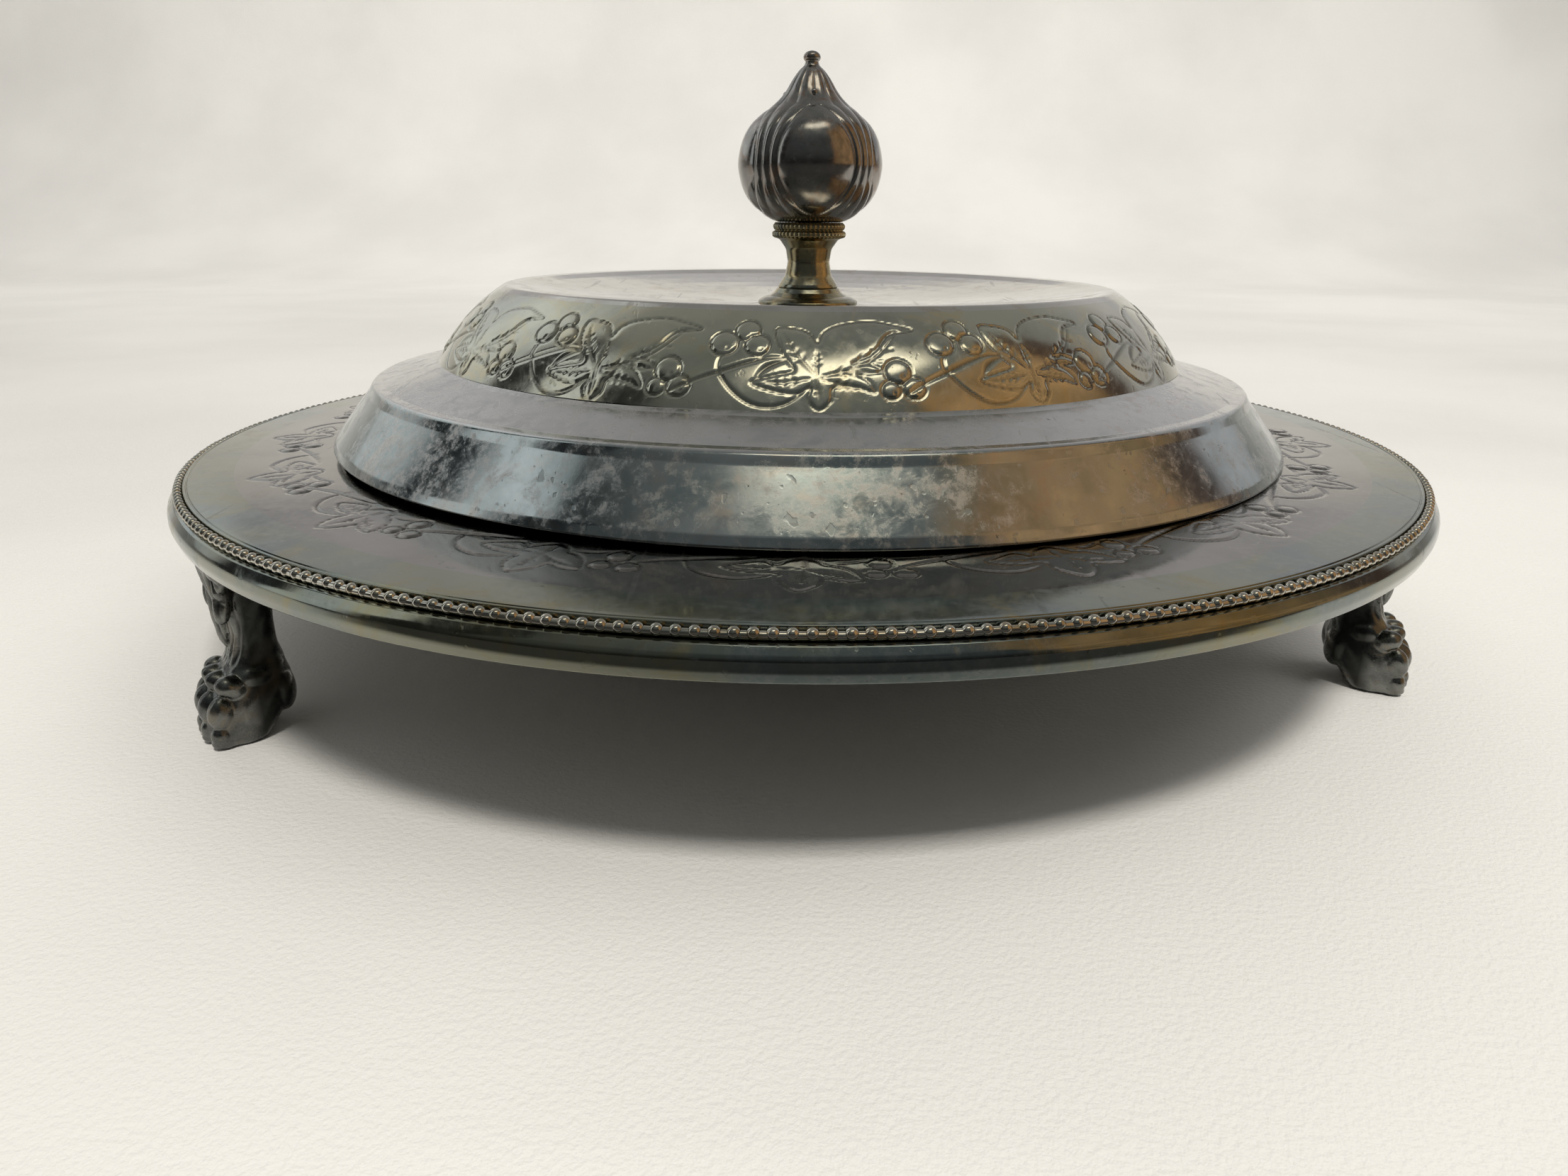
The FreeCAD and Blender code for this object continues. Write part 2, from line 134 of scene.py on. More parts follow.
def rounded(points, spacing=1.0):
    """Profile through corners (r, z, rounding radius), with arcs at the corners, evenly divided."""
    pts = [np.array(q[:2], float) for q in points]
    radii = [q[2] if len(q) > 2 else 0.0 for q in points]
    line = [pts[0]]
    for i in range(1, len(pts) - 1):
        a, b, c = pts[i - 1], pts[i], pts[i + 1]
        u, v = (a - b) / np.linalg.norm(a - b), (c - b) / np.linalg.norm(c - b)
        half = math.acos(np.clip(u @ v, -1, 1)) / 2
        if radii[i] <= 0 or half > STRAIGHT:
            line.append(b)
            continue
        most = 0.49 * np.linalg.norm(a - b), 0.49 * np.linalg.norm(c - b)
        back = min(radii[i] / math.tan(half), *most)
        centre = b + (u + v) / np.linalg.norm(u + v) * back / math.cos(half)
        start, end = b + u * back, b + v * back
        for k in range(ARC_STEPS + 1):
            w = k / ARC_STEPS
            q = start * (1 - w) + end * w - centre
            line.append(centre + q / np.linalg.norm(q) * np.linalg.norm(start - centre))
    line.append(pts[-1])
    out = [line[0]]
    for a, b in zip(line, line[1:]):
        n = max(1, math.ceil(np.linalg.norm(b - a) / spacing))
        out += [a + (b - a) * k / n for k in range(1, n + 1)]
    return np.array(out)


def revolve(profile, turns, height=None, modulate=None):
    """Grid of points, rows along the profile and columns round the axis, azimuth 0 at the front (-Y).
    height(angle, length, radius) lifts the surface along its normal. modulate(angle, radius, z)
    gives each point a new radius and z."""
    profile = np.asarray(profile, float)
    angle = np.arange(turns) / turns * TURN
    r, z = profile[:, :1], profile[:, 1:2]
    steps = np.linalg.norm(np.diff(profile, axis=0), axis=1)
    length = np.concatenate([[0], np.cumsum(steps)])[:, None]
    a = np.broadcast_to(angle, (len(profile), turns))
    r, z = r + 0 * a, z + 0 * a
    if height is not None:
        t = np.gradient(profile, axis=0)
        t /= np.linalg.norm(t, axis=1)[:, None] + 1e-12
        h = height(a, length + 0 * a, r)
        r, z = r + t[:, 1:2] * h, z - t[:, :1] * h
    if modulate is not None:
        r, z = modulate(a, r, z)
    return np.stack([r * np.sin(a), -r * np.cos(a), z], -1)


def build(name, grids, body, nodes, material, marks=None, tilted=False):
    """One mesh from grids that wrap round their columns, in mm, with its ride, nodes and slot.
    marks says how deep each point is cut, and tilted moves the mesh to the tilted lid's place."""
    verts, faces, start = [], [], 0
    for g in grids:
        rows, cols = g.shape[:2]
        index = np.arange(rows * cols).reshape(rows, cols) + start
        nxt = np.roll(index, -1, axis=1)
        quads = np.stack([index[:-1], nxt[:-1], nxt[1:], index[1:]], -1).reshape(-1, 4)
        verts.append(g.reshape(-1, 3))
        faces.append(quads)
        start += rows * cols
    v = np.vstack(verts)
    f = np.vstack(faces)
    if tilted:
        v = set_lid(v)
    me = bpy.data.meshes.new(name)
    me.vertices.add(len(v))
    me.vertices.foreach_set("co", (v * MM).astype(np.float32).ravel())
    me.loops.add(f.size)
    me.loops.foreach_set("vertex_index", f.astype(np.int32).ravel())
    me.polygons.add(len(f))
    me.polygons.foreach_set("loop_start", np.arange(0, f.size, 4, dtype=np.int32))
    me.polygons.foreach_set("use_smooth", np.ones(len(f), bool))
    me.update(calc_edges=True)
    if marks is not None:
        layer = me.attributes.new("cut", "FLOAT", "POINT")
        layer.data.foreach_set("value", np.asarray(marks, np.float32).ravel())
    weld(me)
    me.validate()
    place(name, me, body, nodes, material)


def weld(me):
    """Joins points that meet where two grids or profile ends touch."""
    bm = bmesh.new()
    bm.from_mesh(me)
    bmesh.ops.remove_doubles(bm, verts=bm.verts, dist=2e-7)
    bmesh.ops.dissolve_degenerate(bm, dist=1e-8, edges=bm.edges)
    bm.to_mesh(me)
    bm.free()


def paint(me, material):
    me.materials.clear()
    me.materials.append(material)


def place(name, me, body, nodes, material):
    ob = bpy.data.objects.new(name, me)
    bpy.context.scene.collection.objects.link(ob)
    paint(me, material)
    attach(ob, body)
    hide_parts(*nodes)


# ---------------------------------------------------------------- materials
class Graph:
    """Small helper that adds nodes and links sockets or sets their values."""

    def __init__(self, tree):
        self.tree = tree
        tree.nodes.clear()

    def add(self, kind, sockets=None, **props):
        node = self.tree.nodes.new(kind)
        for key, value in props.items():
            setattr(node, key, value)
        for key, value in (sockets or {}).items():
            target = node.inputs[key]
            if isinstance(value, bpy.types.NodeSocket):
                self.tree.links.new(value, target)
            else:
                target.default_value = value
        return node

    def math(self, op, a, b=0.0, clamp=False):
        return self.add("ShaderNodeMath", {0: a, 1: b}, operation=op, use_clamp=clamp).outputs[0]

    def weighted(self, a, share_a, b, share_b):
        return self.math("ADD", self.math("MULTIPLY", a, share_a), self.math("MULTIPLY", b, share_b))

    def mix(self, factor, a, b):
        n = self.add("ShaderNodeMix", {0: factor, 6: a, 7: b}, data_type="RGBA", blend_type="MIX")
        return n.outputs[2]

    def band(self, value, low, high, out_low=0.0, out_high=1.0):
        n = self.add("ShaderNodeMapRange", {0: value, 1: low, 2: high, 3: out_low, 4: out_high},
                     interpolation_type="SMOOTHSTEP")
        return n.outputs[0]

    def sector(self, angle, rise_from, rise_to, fall_from, fall_to):
        """1 from rise_to to fall_from, and 0 outside rise_from and fall_to. All in degrees."""
        up = self.band(angle, math.radians(rise_from), math.radians(rise_to))
        down = self.band(angle, math.radians(fall_from), math.radians(fall_to), 1, 0)
        return self.math("MULTIPLY", up, down)

    def noise(self, vector, scale, detail=5.0, rough=0.6, warp=0.0):
        n = self.add("ShaderNodeTexNoise", {"Vector": vector, "Scale": scale, "Detail": detail,
                                            "Roughness": rough, "Distortion": warp})
        return n.outputs[0]

    def output(self, shader, kind="ShaderNodeOutputMaterial"):
        self.tree.links.new(shader.outputs[0], self.add(kind).inputs[0])


def rgb(r, g, b):
    return (r, g, b, 1.0)


def new_material(name):
    """An empty node material, its graph and its object coordinates."""
    mat = bpy.data.materials.new(name)
    mat.use_nodes = True
    g = Graph(mat.node_tree)
    return mat, g, g.add("ShaderNodeTexCoord").outputs["Object"]


FROST_COLOUR = rgb(0.60, 0.575, 0.55)    # pale speckles of worn tarnish
FILM_COLOUR = rgb(0.66, 0.635, 0.625)    # dust on surfaces that face up


def metal(name, base, second, warm, dark, rough=(0.16, 0.42), patch=38.0, frost=0.5, scratch=1.0,
          mark_darkness=0.8, cast=0.0, warm_share=(0.5, 0.72), dust=0.0):
    """Tarnished metal: broad tarnish clouds, warm stains, frosty speckles, a pale film on what faces
    up, dark pits, dark cut marks (engraved grooves, and painted shade on the feet's flanks) and
    scratches. patch sets how fine the clouds are."""
    mat, g, at = new_material(name)
    cloud = g.noise(at, patch, 6.0, 0.62, 0.6)
    stain = g.noise(at, patch * 2.3, 7.0, 0.68, 1.1)
    mottle = g.noise(at, patch * 9.0, 6.0, 0.72, 0.4)
    grain = g.noise(at, 2600.0, 3.0, 0.6)
    colour = g.mix(g.band(cloud, 0.38, 0.62), base, second)
    colour = g.mix(g.band(stain, *warm_share), colour, warm)
    speckle = g.noise(at, patch * 26, 8.0, 0.8)
    area = g.band(g.weighted(mottle, 0.5, cloud, 0.5), 0.47, 0.58)
    pale = g.math("MULTIPLY", g.math("MULTIPLY", g.band(speckle, 0.40, 0.62), area), frost)
    colour = g.mix(pale, colour, FROST_COLOUR)
    normal = g.add("ShaderNodeNewGeometry").outputs["Normal"]
    level = g.add("ShaderNodeSeparateXYZ", {0: normal}).outputs[2]
    film = g.math("MULTIPLY", g.band(level, 0.7, 0.95), g.band(mottle, 0.3, 0.6, dust * 0.6, dust))
    colour = g.mix(film, colour, FILM_COLOUR)
    pits = g.band(g.noise(at, patch * 20, 4.0, 0.75), 0.66, 0.74)
    colour = g.mix(g.math("MULTIPLY", pits, 0.55), colour, dark)
    # Cut marks darken engraved grooves, and on the feet they also carry painted shade on the flanks.
    cut = g.add("ShaderNodeAttribute", attribute_name="cut", attribute_type="GEOMETRY").outputs["Fac"]
    colour = g.mix(g.math("MULTIPLY", cut, mark_darkness, clamp=True), colour, dark)
    hair = 0.0
    for turn, size in (((0.3, 0.9, 0.4), 620.0), ((1.1, 0.2, 2.0), 480.0), ((2.0, 1.3, 0.7), 700.0)):
        lie = g.add("ShaderNodeMapping", {"Vector": at, "Rotation": turn, "Scale": (1.0, 0.035, 1.0)})
        line = g.band(g.noise(lie.outputs[0], size, 2.0, 0.5), 0.69, 0.735)
        hair = g.math("MAXIMUM", line, hair)
    low, high = rough
    r = g.band(g.weighted(mottle, 0.6, stain, 0.4), 0.4, 0.64, low, high)
    r = g.math("ADD", r, g.math("MULTIPLY", pale, 0.24))
    r = g.math("ADD", r, g.math("MULTIPLY", hair, 0.12 * scratch))
    r = g.math("ADD", r, g.math("MULTIPLY", cut, 0.08), clamp=True)
    uneven = g.weighted(grain, 0.10 + cast, mottle, 0.30 + 2 * cast)
    uneven = g.math("SUBTRACT", uneven, g.math("MULTIPLY", hair, 0.5 * scratch))
    uneven = g.math("SUBTRACT", uneven, g.math("MULTIPLY", pits, 0.8))
    bump = g.add("ShaderNodeBump", {"Height": uneven, "Strength": 0.22 + cast * 0.6,
                                    "Distance": 0.00006})
    shader = g.add("ShaderNodeBsdfPrincipled", {"Base Color": colour, "Metallic": 1.0, "Roughness": r,
                                                "Normal": bump.outputs[0]})
    g.output(shader)
    return mat


# One silver plate in lighter and darker copies, one per part. Partly this is real tarnish, and partly it is
# painted light: the flange, apron and feet are made darker (painted shade) and the tier, top and beads
# lighter (painted highlight), so that their reflections come out darker or brighter.
FLANGE_METAL = metal("silver_flange", rgb(0.27, 0.255, 0.235), rgb(0.20, 0.19, 0.175), rgb(0.27, 0.21, 0.155),
                     rgb(0.08, 0.068, 0.055), rough=(0.045, 0.13), frost=0.12, warm_share=(0.54, 0.8))
APRON_METAL = metal("silver_apron", rgb(0.24, 0.245, 0.19), rgb(0.165, 0.195, 0.19), rgb(0.26, 0.23, 0.125),
                    rgb(0.06, 0.052, 0.04), rough=(0.08, 0.2), frost=0.12)
SKIRT_METAL = metal("silver_skirt", rgb(0.42, 0.45, 0.45), rgb(0.27, 0.32, 0.32), rgb(0.44, 0.40, 0.36),
                    rgb(0.07, 0.065, 0.06), rough=(0.10, 0.26), frost=0.9, scratch=1.3, dust=0.75)
TIER_METAL = metal("silver_tier", rgb(0.52, 0.51, 0.42), rgb(0.40, 0.40, 0.34), rgb(0.54, 0.47, 0.30),
                   rgb(0.07, 0.062, 0.045), rough=(0.09, 0.21), frost=0.2)
TOP_METAL = metal("silver_top", rgb(0.56, 0.54, 0.50), rgb(0.46, 0.445, 0.41), rgb(0.44, 0.38, 0.30),
                  rgb(0.07, 0.065, 0.06), rough=(0.05, 0.16), frost=0.25)
BALL_METAL = metal("silver_ball", rgb(0.32, 0.30, 0.28), rgb(0.21, 0.21, 0.20), rgb(0.27, 0.19, 0.14),
                   rgb(0.05, 0.036, 0.028), rough=(0.12, 0.24), patch=130.0, frost=0.12)
STEM_METAL = metal("worn_brass", rgb(0.40, 0.34, 0.20), rgb(0.19, 0.20, 0.17), rgb(0.55, 0.43, 0.22),
                   rgb(0.05, 0.042, 0.03), rough=(0.14, 0.28), patch=120.0, frost=0.0)
BEAD_METAL = metal("silver_beads", rgb(0.56, 0.53, 0.46), rgb(0.40, 0.39, 0.34), rgb(0.46, 0.36, 0.22),
                   rgb(0.08, 0.068, 0.055), rough=(0.05, 0.14), patch=90.0, frost=0.0)
BRASS = metal("plain_brass", rgb(0.70, 0.53, 0.26), rgb(0.56, 0.42, 0.20), rgb(0.45, 0.30, 0.14),
              rgb(0.12, 0.08, 0.04), rough=(0.22, 0.4), patch=160.0, frost=0.0)
# The feet's near-black dark colour also paints the shade on their flanks.
CAST_METAL = metal("cast_foot", rgb(0.22, 0.225, 0.21), rgb(0.11, 0.115, 0.11), rgb(0.20, 0.18, 0.14),
                   rgb(0.014, 0.015, 0.014), rough=(0.2, 0.36), patch=150.0, frost=0.1, cast=0.25, mark_darkness=0.9)


def glass(name):
    mat, g, at = new_material(name)
    smear = g.noise(at, 90.0, 4.0, 0.6)
    wave = g.noise(at, 60.0, 2.0, 0.5)
    bump = g.add("ShaderNodeBump", {"Height": wave, "Strength": 0.15, "Distance": 0.0002})
    shader = g.add("ShaderNodeBsdfPrincipled", {"Base Color": rgb(0.93, 0.97, 0.95),
                                                "Roughness": g.band(smear, 0.4, 0.7, 0.02, 0.09),
                                                "IOR": 1.5, "Transmission Weight": 1.0,
                                                "Normal": bump.outputs[0]})
    g.output(shader)
    return mat


GLASS = glass("clear_glass")


# ---------------------------------------------------------------- engraving
def near(points, line):
    """Distance of each point to a polyline, and how far along the line its nearest point is (0..1)."""
    best = np.full(len(points), 1e9)
    along = np.zeros(len(points))
    n = len(line) - 1
    for k in range(n):
        a, b = line[k], line[k + 1]
        ab = b - a
        t = np.clip(((points - a) @ ab) / (ab @ ab + 1e-12), 0, 1)
        d = np.linalg.norm(points - a - t[:, None] * ab, axis=1)
        hit = d < best
        best[hit] = d[hit]
        along[hit] = (k + t[hit]) / n
    return best, along


def inside(points, loop):
    """Even-odd test."""
    x, y = points[:, 0], points[:, 1]
    odd = np.zeros(len(points), bool)
    for (x0, y0), (x1, y1) in zip(loop, np.roll(loop, -1, axis=0)):
        cross = (y0 > y) != (y1 > y)
        at = x0 + (y - y0) / (y1 - y0 + 1e-12) * (x1 - x0)
        odd ^= cross & (x < at)
    return odd


# Width in mm, depth and taper of a leaf's main veins and of the short ones that leave them.
VEIN, SIDE_VEIN = (0.22, 0.75, 0.5), (0.17, 0.6, 0.6)
SIDE_VEIN_TURN = math.radians(38)
RING_WIDTH = 0.22                        # line round a berry, and its pip, in mm
BERRY_RISE = 0.15


class Motif:
    """One repeat of the vine: a leaf with veins, berries, a stem and a tendril, all in millimetres.
    across runs round the dish, up runs up the surface."""

    def __init__(self, leaf, heart, veins, strokes, berries, lift=0.05, depth=0.2, width=0.25):
        self.leaf = smooth_curve(leaf, 5, closed=True)
        self.lift, self.depth, self.width, self.berries = lift, depth, width, berries
        self.cuts = [(smooth_curve(s, 6), w, d, taper) for s, w, d, taper in strokes]
        for tip, bend in veins:
            a, b = np.array(heart, float), np.array(tip, float)
            side = np.array([a[1] - b[1], b[0] - a[0]]) * bend
            mid = (a + b) / 2 + side
            line = smooth_curve([a, mid, b], 6)
            self.cuts.append((line, *VEIN))
            span = np.linalg.norm(b - a)
            for share in (0.34, 0.52, 0.7):
                i = int(share * (len(line) - 1))
                way = line[i + 1] - line[i]
                way /= np.linalg.norm(way)
                for sign in (-1, 1):
                    turn = sign * SIDE_VEIN_TURN
                    c, s = math.cos(turn), math.sin(turn)
                    out = np.array([way[0] * c - way[1] * s, way[0] * s + way[1] * c])
                    reach = 0.27 * span * (1.15 - share)
                    self.cuts.append((np.array([line[i], line[i] + out * reach]), *SIDE_VEIN))

    def height(self, p, jitter):
        """Height of the surface at points p, and how deep in a cut each point is (0..1)."""
        p = p - jitter
        h = np.zeros(len(p))
        edge, _ = near(p, np.vstack([self.leaf, self.leaf[:1]]))
        within = inside(p, self.leaf)
        h += np.where(within, self.lift * np.clip(edge / 0.7, 0, 1), 0)
        rim = np.clip(1 - edge / self.width, 0, 1)
        cut = np.where(within, rim * 0.5, rim)
        deepest = cut * 0.9
        for line, width, depth, taper in self.cuts:
            d, t = near(p, line)
            swell = np.clip(np.sin(math.pi * np.clip(t, 0.02, 0.98)), 0, 1) ** taper
            profile = np.clip(1 - d / (width * swell + 1e-6), 0, 1)
            deepest = np.maximum(deepest, depth * profile * swell)
        for x, y, r in self.berries:
            d = np.hypot(p[:, 0] - x, p[:, 1] - y)
            dome = np.sqrt(np.clip(1 - (d / r) ** 2, 0, 1))
            h = np.where(d < r, BERRY_RISE * dome, h)
            ring = np.clip(1 - np.abs(d - r) / RING_WIDTH, 0, 1)
            deepest = np.where(d < r - RING_WIDTH, 0, np.maximum(deepest, ring))
            to_pip = np.hypot(p[:, 0] - x - 0.3 * r, p[:, 1] - y + 0.45 * r)
            pip = np.clip(1 - to_pip / RING_WIDTH, 0, 1)
            deepest = np.maximum(deepest, 0.8 * pip)
        return h - self.depth * deepest, deepest


UNCUT = 0.05                             # a mark this faint doesn't count as a cut


def engraved(motif, repeats, span, phase, scatter):
    """Height function for a ring of repeats, and a list that gets its marks when it runs. span is the
    motif's length round the ring and scatter how far each repeat may stray, both in mm."""
    marks = []

    def height(angle, up, radius):
        u = (angle.ravel() - math.radians(phase)) / TURN * repeats * span
        v = up.ravel()
        total = repeats * span
        h, mark = np.zeros(u.size), np.zeros(u.size)
        for k in range(repeats):
            x = (u - k * span + total / 2) % total - total / 2
            pick = (x > -0.72 * span) & (x < 0.62 * span)
            shift = RNG.uniform(-scatter, scatter, 2)
            hk, mk = motif.height(np.stack([x[pick], v[pick]], -1), shift)
            old, was = h[pick], mark[pick]
            on_top = (mk > was) | ((hk > old) & (was <= UNCUT))
            h[pick] = np.where(on_top, hk, old)
            mark[pick] = np.maximum(was, mk)
        marks.append(mark.reshape(angle.shape))
        return h.reshape(angle.shape)

    return height, marks


TIER_VINE = Motif(
    leaf=[(-3.4, 7.1), (-4.5, 9.2), (-4.8, 11.5), (-2.6, 11.5), (-0.9, 10.8), (0.1, 9.3), (0.9, 11.0),
          (2.9, 12.2), (6.6, 12.8), (9.4, 12.2), (11.9, 11.3), (9.0, 10.7), (7.7, 9.4), (6.2, 7.8),
          (4.0, 6.5), (6.0, 6.4), (7.3, 5.5), (5.4, 5.2), (4.4, 5.1), (5.5, 4.3), (6.3, 2.8),
          (4.2, 3.5), (1.8, 3.4), (1.5, 1.8), (0.2, 0.6), (-0.9, 1.9), (-0.6, 3.4), (-2.3, 2.6),
          (-4.6, 2.9), (-7.1, 3.9), (-4.6, 4.8), (-2.5, 5.5)],
    heart=(0.0, 4.6),
    veins=[((-4.0, 10.9), 0.04), ((10.4, 11.6), -0.12), ((0.1, 8.9), 0.0), ((6.5, 5.7), 0.03),
           ((5.7, 3.2), -0.03), ((0.2, 1.1), 0.0), ((-6.3, 3.8), 0.03)],
    strokes=[
        ([(-7.0, 3.9), (-5.9, 5.6), (-4.6, 6.5), (-3.0, 6.9)], 0.55, 1.0, 0.7),
        ([(-16.4, 2.2), (-13.4, 4.0), (-11.0, 5.1), (-8.0, 6.4), (-5.4, 7.2), (-2.8, 7.1)], 0.36, 1.0, 0.35),
        ([(-9.6, 7.8), (-10.9, 7.2), (-11.2, 6.1), (-10.8, 4.9), (-9.2, 2.8), (-7.2, 1.3), (-5.2, 0.9),
          (-3.2, 1.4), (-1.4, 2.9), (-0.4, 4.2)], 0.3, 0.9, 0.4),
        ([(7.0, 8.2), (7.8, 9.8), (9.2, 11.0), (12.2, 11.7)], 0.3, 0.7, 0.5),
        ([(9.5, 2.0), (10.0, 3.0), (11.4, 4.2)], 0.25, 0.7, 0.5),
    ],
    berries=[(-10.9, 9.1, 1.7), (-8.3, 11.1, 1.55), (-6.9, 8.9, 1.5), (9.1, 5.4, 1.55), (8.1, 3.0, 1.05),
             (10.7, 3.2, 1.3)],
)

# Up the band is outwards here, so up = radius - BAND_IN.
FLANGE_VINE = Motif(
    leaf=[(-8.2, 4.0), (-6.4, 2.7), (-4.3, 2.0), (-2.7, 3.1), (-1.5, 1.8), (0.2, 1.3), (1.6, 2.1),
          (2.3, 3.2), (3.6, 3.7), (5.0, 5.2), (5.7, 7.7), (3.7, 7.6), (2.1, 6.9), (1.5, 8.6),
          (-0.4, 10.3), (-1.9, 8.8), (-2.5, 6.9), (-2.4, 5.6), (-4.4, 5.4), (-6.5, 5.0)],
    heart=(0.0, 4.5),
    veins=[((-7.2, 3.9), 0.03), ((0.1, 1.8), 0.0), ((5.0, 7.0), 0.05), ((-0.4, 9.5), -0.03)],
    strokes=[
        ([(-18.2, 4.6), (-15.2, 3.2), (-12.2, 2.3), (-8.4, 1.5), (-4.8, 1.2)], 0.42, 1.0, 0.35),
        ([(-12.6, 0.9), (-12.4, 2.7), (-11.5, 4.8), (-9.4, 6.5), (-6.6, 7.3), (-4.2, 6.7), (-2.6, 5.9)],
         0.34, 1.0, 0.4),
        ([(2.6, 2.8), (5.2, 2.5), (7.4, 1.6)], 0.28, 0.8, 0.5),
        ([(7.6, 1.6), (9.2, 3.0), (9.7, 4.2)], 0.25, 0.6, 0.5),
    ],
    berries=[(7.2, 5.7, 1.15), (10.2, 5.8, 1.3), (8.1, 2.9, 1.35)],
    lift=0.03, depth=0.18, width=0.25,
)


# ---------------------------------------------------------------- the dish
FLANGE_REPEATS, FLANGE_SPAN = 18, 27.9   # vines round the flange, and each one's length in mm


def dish_pieces():
    height, marks = engraved(FLANGE_VINE, FLANGE_REPEATS, FLANGE_SPAN, -0.5, 0.18)
    radii = np.linspace(BAND_OUT, BAND_IN, 45)
    band = revolve(np.stack([radii, flange_top(radii)], -1), BAND_TURNS,
                   lambda a, s, r: fade(r, BAND_IN, BAND_OUT, 0.6) * height(a, r - BAND_IN, r))
    build("dish_engraved_band", [band], "dish", ["dish_body"], FLANGE_METAL, marks[0])

    turned = APRON_R - 0.3
    outer = rounded([
        (MOUTH_R + 0.6, flange_top(MOUTH_R) - SHEET - 0.2),
        (RIM_R - 2.4, flange_top(RIM_R - 2.4) - SHEET, 0.8),
        (RIM_R - 1.6, APRON_LOW + 0.5, 0.3),
        (RIM_R - 1.3, APRON_LOW, 0.35),
        (APRON_R + 0.05, APRON_LOW + 0.05, 0.4),
        (RIM_R - 0.02, APRON_LOW + 1.4, 1.6),
        (RIM_R - 0.12, APRON_LOW + 2.6, 1.5),
        (turned, APRON_LOW + 3.55, 0.35),
        (turned - 0.35, BEAD_Z - 0.75, 0.2),
        (BEAD_RING_R - 0.55, BEAD_Z - 0.6, 0.25),
        (LINE_R + 0.45, FLANGE_Z - 0.02, 0.15),
        (LINE_R + 0.16, FLANGE_Z, 0.05),
        (LINE_R, FLANGE_Z - 0.2, 0.08),
        (LINE_R - 0.16, FLANGE_Z, 0.05),
        (BAND_OUT, flange_top(BAND_OUT)),
    ], 0.7)
    build("dish_rim", [revolve(outer, RIM_TURNS)], "dish", ["dish_body"],
          APRON_METAL)

    crown = flange_top(RIDGE_R) + RIDGE_RISE
    inner = rounded([
        (BAND_IN, flange_top(BAND_IN)),
        (RIDGE_R + RIDGE_HALF + 0.2, flange_top(RIDGE_R), 0.4),
        (RIDGE_R + 0.45, crown, 0.6),
        (RIDGE_R - 0.45, crown, 0.6),
        (RIDGE_R - RIDGE_HALF - 0.2, flange_top(RIDGE_R), 0.4),
        (MOUTH_R, flange_top(MOUTH_R), 0.8),
        (BOWL_CORNER_R, BOWL_Z, 9.0),
        (0.01, BOWL_Z),
    ], 1.2)
    below = rounded([
        (0.01, BOWL_Z - SHEET),
        (BOWL_CORNER_R + 0.5, BOWL_Z - SHEET, 9.0),
        (MOUTH_R + 0.6, flange_top(MOUTH_R) - SHEET - 0.2),
    ], 1.5)
    build("dish_well", [revolve(inner, WELL_TURNS), revolve(below, WELL_TURNS)], "dish",
          ["dish_body"], FLANGE_METAL)


WIRE_R = 0.42
BEAD_SQUASH = np.array([0.86, 0.92, 0.86])    # outwards, along the wire and up


def beads():
    """A fine wire with small round beads soldered along it, each a little different in size."""
    ring = np.linspace(0, TURN, 12, endpoint=False)
    wire = np.stack([BEAD_RING_R + WIRE_R * np.cos(ring), BEAD_Z - 0.2 + WIRE_R * np.sin(ring)], -1)
    wire = np.vstack([wire, wire[:1]])
    lat = np.linspace(-math.pi / 2, math.pi / 2, 9)
    lon = np.linspace(0, TURN, 12, endpoint=False)
    la, lo = np.meshgrid(lat, lon, indexing="ij")
    ball = np.stack([np.cos(la) * np.cos(lo), np.cos(la) * np.sin(lo), np.sin(la)], -1)[:, ::-1]
    grids = [revolve(wire[::-1], WIRE_TURNS)]
    for k in range(BEAD_COUNT):
        a = k / BEAD_COUNT * TURN
        size = BEAD_R * RNG.uniform(0.93, 1.0)
        x, y = math.sin(a), -math.cos(a)
        local = ball * (size * BEAD_SQUASH)
        out = np.array([x, y, 0.0]) * BEAD_RING_R
        turned = np.stack([local[..., 0] * x - local[..., 1] * y,
                           local[..., 0] * y + local[..., 1] * x, local[..., 2]], -1)
        grids.append(turned + out + np.array([0, 0, BEAD_Z - 0.06]))
    build("bead_border_wire", grids, "dish", ["bead_border"], BEAD_METAL)


# ---------------------------------------------------------------- the lid
def tier_profile(count, inset=0.0):
    a, b = np.array([TIER_R, TIER_Z]), np.array([TIER_TOP_R, TIER_TOP_Z])
    chord = np.linalg.norm(b - a)
    sag = TIER_BOW - math.sqrt(TIER_BOW**2 - chord**2 / 4)
    along = (b - a) / chord
    outward = np.array([along[1], -along[0]])
    t = np.linspace(0, 1, count)[:, None]
    return a + (b - a) * t + outward * (sag * (1 - (2 * t - 1) ** 2) - inset)


TIER_REPEATS = 13                        # vines round the tier
VINE_START, VINE_END = 0.35, 1.1         # plain metal below and above the engraved band, in mm


def dished(r):
    """How far the lid's dished top is above its boss, at a radius."""
    return (TIER_TOP_Z - BOSS_Z) * ((r - BOSS_R) / (TIER_TOP_R - BOSS_R)) ** 1.7


